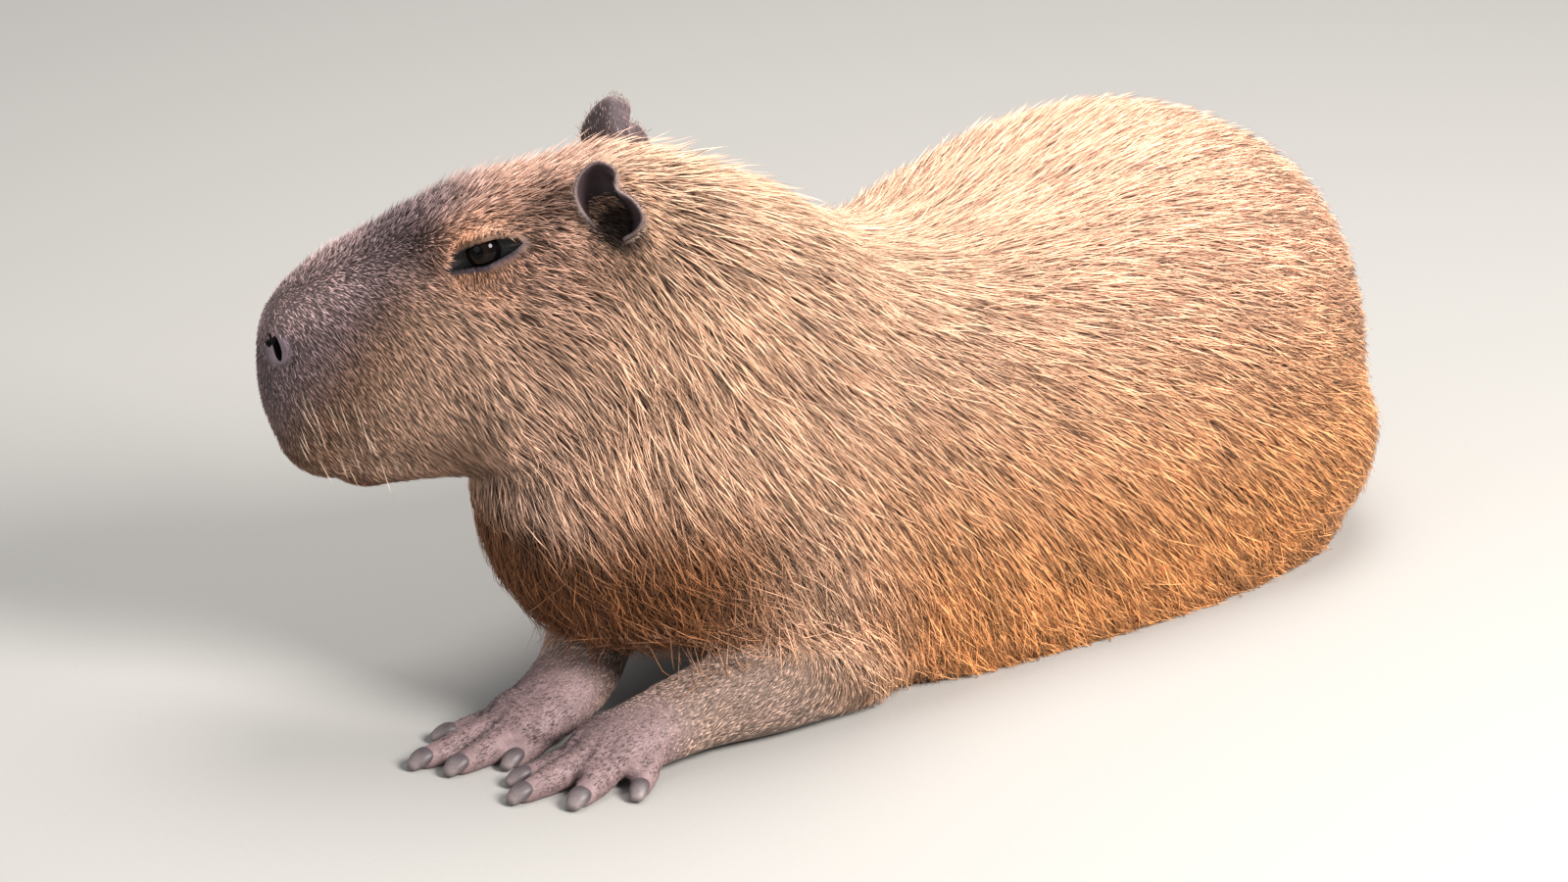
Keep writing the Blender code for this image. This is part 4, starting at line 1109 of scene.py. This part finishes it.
# %% Whiskers on the lower muzzle
def whisker_paths(count):
    starts, directions = [], []
    for _ in range(count):
        side = 1 if chance.rand() < 0.5 else -1
        want = head_point(0.150 + 0.075 * chance.rand(), side * 0.055, 0.195 + 0.055 * chance.rand())
        starts.append(surface.find_nearest(want)[0])
        back = HEAD_FORWARD * -(0.30 + 0.35 * chance.rand())
        aside = HEAD_LEFT * (side * (0.02 + 0.12 * chance.rand()))
        directions.append((back + aside - UP).normalized())
    starts, directions = np.array(starts), unit(np.array(directions))
    length = 0.013 + 0.024 * chance.rand(count)
    out = unit(np.array([surface.find_nearest(p)[1] for p in starts.tolist()]))
    path = []
    for t in (0.0, 0.4, 0.75, 1.0):
        hang = starts + directions * (length * t)[:, None] + out * (0.0035 * math.sin(2.6 * t))
        path.append(hang - UP_ROW * (0.10 * length * t * t)[:, None])
    return np.array(path), np.array([out] * 4)


WHISKERS = 90
path, ups = whisker_paths(WHISKERS)
pale = np.tile(linear("#D0B79F"), (WHISKERS, 1))
whiskers = hair_mesh("whiskers", path, ups, np.full(WHISKERS, 0.00042), 0.8, pale, chance.rand(WHISKERS),
                     (0.4, 0.35, 0.25))
print("whiskers", WHISKERS)

# %% [markdown]
# ## Ears
#
# The ear is a small leathery cup, bare inside, with a rolled front edge, a notch behind and a fringe of
# pale hairs. It is a sheet between a curved root on the head and a curved rim, bellied in, thickened with
# Solidify and rounded by subdivision.

# %% The two ears
EAR_RIM = [
    (0.011, 0.057, 0.366), (0.0205, 0.062, 0.379), (0.0235, 0.066, 0.392), (0.0195, 0.068, 0.406),
    (0.0085, 0.067, 0.4140), (-0.0035, 0.068, 0.4085), (-0.0040, 0.070, 0.396), (-0.0140, 0.075, 0.391),
    (-0.0220, 0.076, 0.379), (-0.018, 0.071, 0.367), (-0.009, 0.064, 0.359),
]
EAR_ROOT = [
    (0.004, 0.053, 0.352), (0.010, 0.048, 0.360), (0.012, 0.045, 0.366), (0.009, 0.043, 0.370),
    (0.004, 0.041, 0.372), (-0.002, 0.041, 0.371), (-0.007, 0.043, 0.368), (-0.011, 0.047, 0.363),
    (-0.013, 0.052, 0.357), (-0.010, 0.055, 0.352), (-0.003, 0.055, 0.350),
]
EAR_DEPTH = 0.011
EARS = []
for side, word in ((1, "left"), (-1, "right")):
    across, up_rows = 41, 13
    rim, root = eased(EAR_RIM, across), eased(EAR_ROOT, across)
    if side < 0:
        rim[:, 0] -= 0.006 * ramp(rim[:, 2], 0.385, 0.410)
    points, faces = [], []
    for j in range(up_rows):
        v = -0.22 + 1.22 * j / (up_rows - 1)
        for i in range(across):
            spot = root[i] + (rim[i] - root[i]) * v
            around = math.sin(math.pi * i / (across - 1))
            spot[1] -= EAR_DEPTH * math.sin(math.pi * max(v, 0.0)) * around
            spot[1] += 0.0022 * ramp(np.array(v), 0.80, 1.0) * around
            spot[1] += 0.0012 * math.sin(9.0 * v + 0.3 * i) * around * (0.2 < v < 0.9)
            points.append(head_point(spot[0], side * spot[1], spot[2]))
    for j in range(up_rows - 1):
        for i in range(across - 1):
            a = j * across + i
            faces.append((a, a + 1, a + across + 1, a + across))
    ear = made_object(f"ear_{word}_cup", points, faces)
    applied(ear, "SOLIDIFY", thickness=0.0026, offset=0.0)
    applied(ear, "SUBSURF", levels=1, render_levels=1)
    chosen([ear])
    bpy.ops.object.shade_smooth()
    edge = np.array([head_point(r[0], side * r[1], r[2]) for r in rim])
    tree = tree_of(edge, range(len(edge)))
    at = places(ear)
    away = np.array([tree.find(p)[2] for p in at.tolist()])
    from_hollow = distance(at, head_point(0.0, side * 0.050, 0.372))
    from_wall = distance(at, head_point(-0.004, side * 0.062, 0.396))
    shade = np.tile(linear("#3D3033"), (len(at), 1))
    # A painted highlight on the inner wall of the cup.
    shade = tinted(shade, linear("#7E6A70"), 0.8 * (1 - ramp(from_wall, 0.004, 0.014)))
    shade = tinted(shade, linear("#857370"), 1 - ramp(away, 0.0006, 0.0034))
    # Painted shade in the hollow of the cup.
    shade = tinted(shade, linear("#1D1416"), 0.9 * (1 - ramp(from_hollow, 0.010, 0.024)))
    coloured(ear, "marking", shade)
    EARS.append(ear)

# %% Hairs on the ears
# Fine pale hairs stand along the rim and lie over the back and the inside of each cup.
EAR_HAIRS = 2200
roots, ups_now, ways = [], [], []
for ear, side in zip(EARS, (1, -1)):
    at, up = places(ear), normals(ear)
    picks = chance.choice(len(at), EAR_HAIRS, replace=False)
    middle = np.array(head_point(0.0, side * 0.062, 0.375))
    away = unit(at[picks] - middle + np.array([0.0, 0.0, 0.006]))
    flat = unit(away - up[picks] * ((away * up[picks]).sum(axis=1) * 0.75)[:, None])
    roots.append(at[picks])
    ups_now.append(up[picks])
    ways.append(flat)
roots, ups_now, ways = np.concatenate(roots), np.concatenate(ups_now), np.concatenate(ways)
length = 0.0035 + 0.0045 * chance.rand(len(roots)) ** 2
path = []
for t in (0, 0.5, 1):
    path.append(roots + ways * (length * t)[:, None] + ups_now * (0.12 * length * t - 0.0003)[:, None])
ear_colour = np.tile(linear("#AE9484"), (len(roots), 1))
ear_hair = hair_mesh("ear_hair", np.array(path), np.array([ups_now] * 3), np.full(len(roots), 0.00036), 0.6,
                     ear_colour, chance.rand(len(roots)))
print("ears", len(EARS), "with", len(roots), "hairs")

# %% [markdown]
# ## Eyes
#
# A real eyeball is nearly black here, with a dark brown iris that only shows in bright light, under a clear
# wet cornea. A smooth ball with the same size as the solid's carries both, and a low roughness gives the
# one small highlight that makes an animal look alive.

# %% Eyeballs
EYES = []
for side, word in ((1, "left"), (-1, "right")):
    ball = round_mass(f"eye_{word}_ball", eye_place(side), (EYE_RADIUS,) * 3, FACING)
    applied(ball, "SUBSURF", levels=1, render_levels=1)
    at = places(ball)
    looking = np.array((HEAD_LEFT * side * 0.93 + HEAD_FORWARD * 0.34 + UP * 0.10).normalized())
    centre = np.array(eye_place(side))
    facing = unit(at - centre) @ looking
    at = centre + unit(at - centre) * (EYE_RADIUS + 0.0006 * ramp(facing, 0.80, 0.97))[:, None]
    moved(ball, at)
    shade = np.tile(linear("#080505"), (len(at), 1))
    shade = tinted(shade, linear("#140B07"), ramp(facing, 0.72, 0.80))
    shade = tinted(shade, linear("#020101"), ramp(facing, 0.90, 0.93))
    coloured(ball, "marking", shade)
    chosen([ball])
    bpy.ops.object.shade_smooth()
    EYES.append(ball)
print("eyes", len(EYES))

# %% [markdown]
# ## Claws
#
# Each toe ends in a blunt, slightly curved nail like a small hoof: dark horn, worn paler at the tip, with
# fine lines along it. The solids' claws are faceted, so smooth ones of about the same size replace them.

# %% Claws
CLAWS = []
# A nail's stations: distance along it and height in metres, then half width and half depth against the toe's.
NAIL = [(0.000, 0.0086, 0.52, 0.34), (0.006, 0.0086, 0.70, 0.50), (0.012, 0.0064, 0.70, 0.50),
        (0.0165, 0.0042, 0.54, 0.36)]
for foot, rows in FEET.items():
    for i, (root, tip, wide) in enumerate(rows):
        along = Vector((tip[0] - root[0], tip[1] - root[1], 0.0)).normalized()
        start = Vector((*tip, 0.0)) - along * 0.006
        keys = []
        for reach, z, half, deep in NAIL:
            keys.append((*(start + along * reach + UP * z), wide * half, wide * deep))
        nail = limb(f"{foot}_nail_{i + 1}", keys, steps=14, sides=18)
        at = places(nail)
        at[:, 2] = np.maximum(at[:, 2], 0.0003)
        moved(nail, at)
        reach = (at - np.array(start)) @ np.array(along)
        shade = np.tile(linear("#4A4042"), (len(at), 1))
        shade = tinted(shade, linear("#7C6F6C"), ramp(reach, 0.008, 0.020))
        coloured(nail, "marking", shade)
        chosen([nail])
        bpy.ops.object.shade_smooth()
        CLAWS.append((nail, f"{foot}_claw_{i + 1}"))
print("nails", len(CLAWS))

# %% [markdown]
# ## Materials
#
# Every material starts from the Principled shader of the real surface and gets its detail from noise in the
# object's own coordinates: pores and wrinkles on the skin, bands of tone along the hair, lines on the
# claws. One small function adds a node with its settings and links, and a few short ones on top of it add
# what every material here shares.

# %% One function for nodes
def node(material, kind, links=None, **settings):
    """Adds a node. Links map an input's name or number to another node's output."""
    made = material.node_tree.nodes.new(kind)
    for key, value in settings.items():
        if hasattr(made, key) and key not in made.inputs:
            setattr(made, key, value)
        else:
            made.inputs[key].default_value = value
    for key, output in (links or {}).items():
        material.node_tree.links.new(output, made.inputs[key])
    return made


def new_material(name):
    """An empty material and the object's own coordinates in it."""
    material = bpy.data.materials.new(name)
    material.use_nodes = True
    material.node_tree.nodes.clear()
    return material, node(material, "ShaderNodeTexCoord").outputs["Object"]


def kept(material, name):
    """A value that the mesh keeps under a name."""
    return node(material, "ShaderNodeAttribute", attribute_name=name)


def ranged(material, value, low, high, start=0.0, stop=1.0):
    """Maps a value from start and stop to low and high."""
    ends = {"From Min": start, "From Max": stop, "To Min": low, "To Max": high}
    return node(material, "ShaderNodeMapRange", {"Value": value}, **ends).outputs[0]


def combined(material, operation, a, b):
    return node(material, "ShaderNodeMath", {0: a, 1: b}, operation=operation).outputs[0]


def principled(material, amount, relief=None, **settings):
    """Finishes a material: its marking times an amount, and a bump from height, strength and distance."""
    mark = kept(material, "marking").outputs["Color"]
    colour = node(material, "ShaderNodeVectorMath", {0: mark, "Scale": amount}, operation="SCALE")
    links = {"Base Color": colour.outputs[0]}
    if relief:
        height, strength, depth = relief
        bump = node(material, "ShaderNodeBump", {"Height": height}, Strength=strength, Distance=depth)
        links["Normal"] = bump.outputs[0]
    finished(material, node(material, "ShaderNodeBsdfPrincipled", links, **settings))


def finished(material, shader):
    node(material, "ShaderNodeOutputMaterial", {"Surface": shader.outputs[0]})


# %% Guard hair
# Keratin: a dry, coarse hair is slightly glossy, dark where it leaves the skin and bleached towards the tip.
hair, spot = new_material("keratin_guard_hair")
patches = node(hair, "ShaderNodeTexNoise", {"Vector": spot}, Scale=26.0, Detail=3.0)
root_tip = ranged(hair, kept(hair, "along").outputs["Fac"], 0.10, 1.12, stop=0.70)
each = ranged(hair, kept(hair, "tone").outputs["Fac"], 0.18, 1.38)
cloud = ranged(hair, patches.outputs["Fac"], 0.86, 1.12, start=0.3, stop=0.7)
one = combined(hair, "MULTIPLY", root_tip, each)
principled(hair, combined(hair, "MULTIPLY", one, cloud), Roughness=0.48, IOR=1.55,
           **{"Specular IOR Level": 0.35})

# %% Skin
# Thin animal skin: matt and finely pitted under the coat, coarser and creased where it is bare.
hide, spot = new_material("bare_animal_skin")
mottle = node(hide, "ShaderNodeTexNoise", {"Vector": spot}, Scale=120.0, Detail=4.0)
pores = node(hide, "ShaderNodeTexVoronoi", {"Vector": spot}, Scale=620.0)
grain = node(hide, "ShaderNodeTexNoise", {"Vector": spot}, Scale=900.0, Detail=3.0)
amount = ranged(hide, mottle.outputs["Fac"], 0.78, 1.22, start=0.3, stop=0.7)
relief = combined(hide, "ADD", pores.outputs["Distance"], grain.outputs["Fac"])
principled(hide, amount, (relief, 0.55, 0.0006), Roughness=0.62, IOR=1.4)

# %% Ears, eyes and claws
# Ear leather is the same skin with a softer, finer grain.
leather, spot = new_material("bare_ear_skin")
grain = node(leather, "ShaderNodeTexNoise", {"Vector": spot}, Scale=420.0, Detail=5.0).outputs["Fac"]
principled(leather, ranged(leather, grain, 0.65, 1.35), (grain, 0.5, 0.0005), Roughness=0.55, IOR=1.4)

# The cornea is wet and clear, so the eye's own colours sit under a sharp gloss.
cornea, spot = new_material("wet_cornea")
fibres = node(cornea, "ShaderNodeTexNoise", {"Vector": spot}, Scale=700.0, Detail=2.0).outputs["Fac"]
principled(cornea, ranged(cornea, fibres, 0.6, 1.4), Roughness=0.05, IOR=1.376, **{"Specular IOR Level": 0.20})

# Claw horn is keratin too, but dense and polished by walking, with fine lines.
horn, spot = new_material("claw_horn")
stretch = node(horn, "ShaderNodeMapping", {"Vector": spot}, Scale=(120.0, 700.0, 700.0)).outputs[0]
lines = node(horn, "ShaderNodeTexNoise", {"Vector": stretch}, Scale=1.0, Detail=3.0).outputs["Fac"]
principled(horn, ranged(horn, lines, 0.6, 1.4), (lines, 0.4, 0.0003), Roughness=0.52, IOR=1.55)
print("materials", [m.name for m in (hair, hide, leather, cornea, horn)])

# %% [markdown]
# ## Settle the pieces on the solids
#
# Every piece moves from the trunk's origin to the middle of the animal, gets its material, and rides on the
# one body. The skin stands for all the solids of flesh, so no seam between them shows.

# %% Materials, riding and replacing
dressed = [(skin, hide), (whiskers, hair), (ear_hair, hair)] + [(piece, hair) for piece in COATS]
dressed += [(ear, leather) for ear in EARS] + [(ball, cornea) for ball in EYES]
dressed += [(nail, horn) for nail, _ in CLAWS]
for piece, material in dressed:
    piece.data.transform(Matrix.Translation(-ORIGIN))
    piece.data.materials.clear()
    piece.data.materials.append(material)
    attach(piece, "root")
flesh = [n for n in frame["nodes"] if not n.startswith(("ear_", "eye_")) and "_claw_" not in n]
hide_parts(*flesh)
for ear, word in zip(EARS, ("left", "right")):
    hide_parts(f"ear_{word}")
for ball, word in zip(EYES, ("left", "right")):
    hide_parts(f"eye_{word}")
for nail, name in CLAWS:
    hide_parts(name)
print("replaced", len(flesh), "solids of flesh with one skin")

# %% [markdown]
# ## Studio
#
# A flat pale floor and three large soft lights: a sky above and behind the animal, a stronger key on the
# camera's side, and a weak fill in front of the head. The camera stands at the photograph's angle, above
# the animal's back and in front of its left shoulder.

# %% Floor
bpy.ops.mesh.primitive_plane_add(size=14.0, location=(0.0, 0.0, 0.0))
floor = bpy.context.object
floor.name = "floor"
paper, spot = new_material("pale_paper_floor")
fleck = node(paper, "ShaderNodeTexNoise", {"Vector": spot}, Scale=300.0)
tint = node(paper, "ShaderNodeMix", {"Factor": fleck.outputs["Fac"]}, data_type="RGBA")
tint.inputs["A"].default_value = (*linear("#A19E99"), 1.0)
tint.inputs["B"].default_value = (*linear("#A5A29D"), 1.0)
shader = node(paper, "ShaderNodeBsdfPrincipled", {"Base Color": tint.outputs["Result"]}, Roughness=0.9)
finished(paper, shader)
floor.data.materials.append(paper)


# %% Lights and camera
def soft_light(name, place, size, watts, colour):
    lamp = bpy.data.lights.new(name, "AREA")
    lamp.shape = "DISK"
    lamp.size = size
    lamp.energy = watts
    lamp.color = colour
    obj = bpy.data.objects.new(name, lamp)
    bpy.context.scene.collection.objects.link(obj)
    obj.location = place
    aim = Vector((0.0, 0.0, 0.1)) - Vector(place)
    obj.rotation_euler = aim.to_track_quat("-Z", "Y").to_euler()


soft_light("sky", (0.7, 0.2, 2.6), 1.8, 70.0, (1.0, 0.98, 0.96))
soft_light("key", (0.2, -2.3, 1.8), 1.1, 155.0, (1.0, 0.97, 0.95))
soft_light("fill", (-2.6, -0.4, 1.2), 2.0, 14.0, (0.96, 0.96, 1.0))
world = bpy.data.worlds.new("pale_room")
world.use_nodes = True
background = world.node_tree.nodes["Background"]
background.inputs["Color"].default_value = (*linear("#DDE2E8"), 1.0)
background.inputs["Strength"].default_value = 0.60
bpy.context.scene.world = world
bpy.context.scene.view_settings.view_transform = "Standard"

AZIMUTH, ELEVATION, DISTANCE = math.radians(-41.0), math.radians(21.5), 4.0
FLAT = math.cos(ELEVATION)
BACK = Vector((math.sin(AZIMUTH) * FLAT, -math.cos(AZIMUTH) * FLAT, math.sin(ELEVATION)))
TARGET = Vector((0.10, -0.17, 0.22)) - ORIGIN
camera = bpy.data.objects.new("camera", bpy.data.cameras.new("camera"))
bpy.context.scene.collection.objects.link(camera)
SENSOR, FOCAL_PIXELS, FRAME_PIXELS = 36.0, 6150.0, 1600.0
camera.data.sensor_width = SENSOR
camera.data.lens = SENSOR * FOCAL_PIXELS / FRAME_PIXELS
camera.location = TARGET + BACK * DISTANCE
camera.rotation_euler = BACK.to_track_quat("Z", "Y").to_euler()
bpy.context.scene.camera = camera
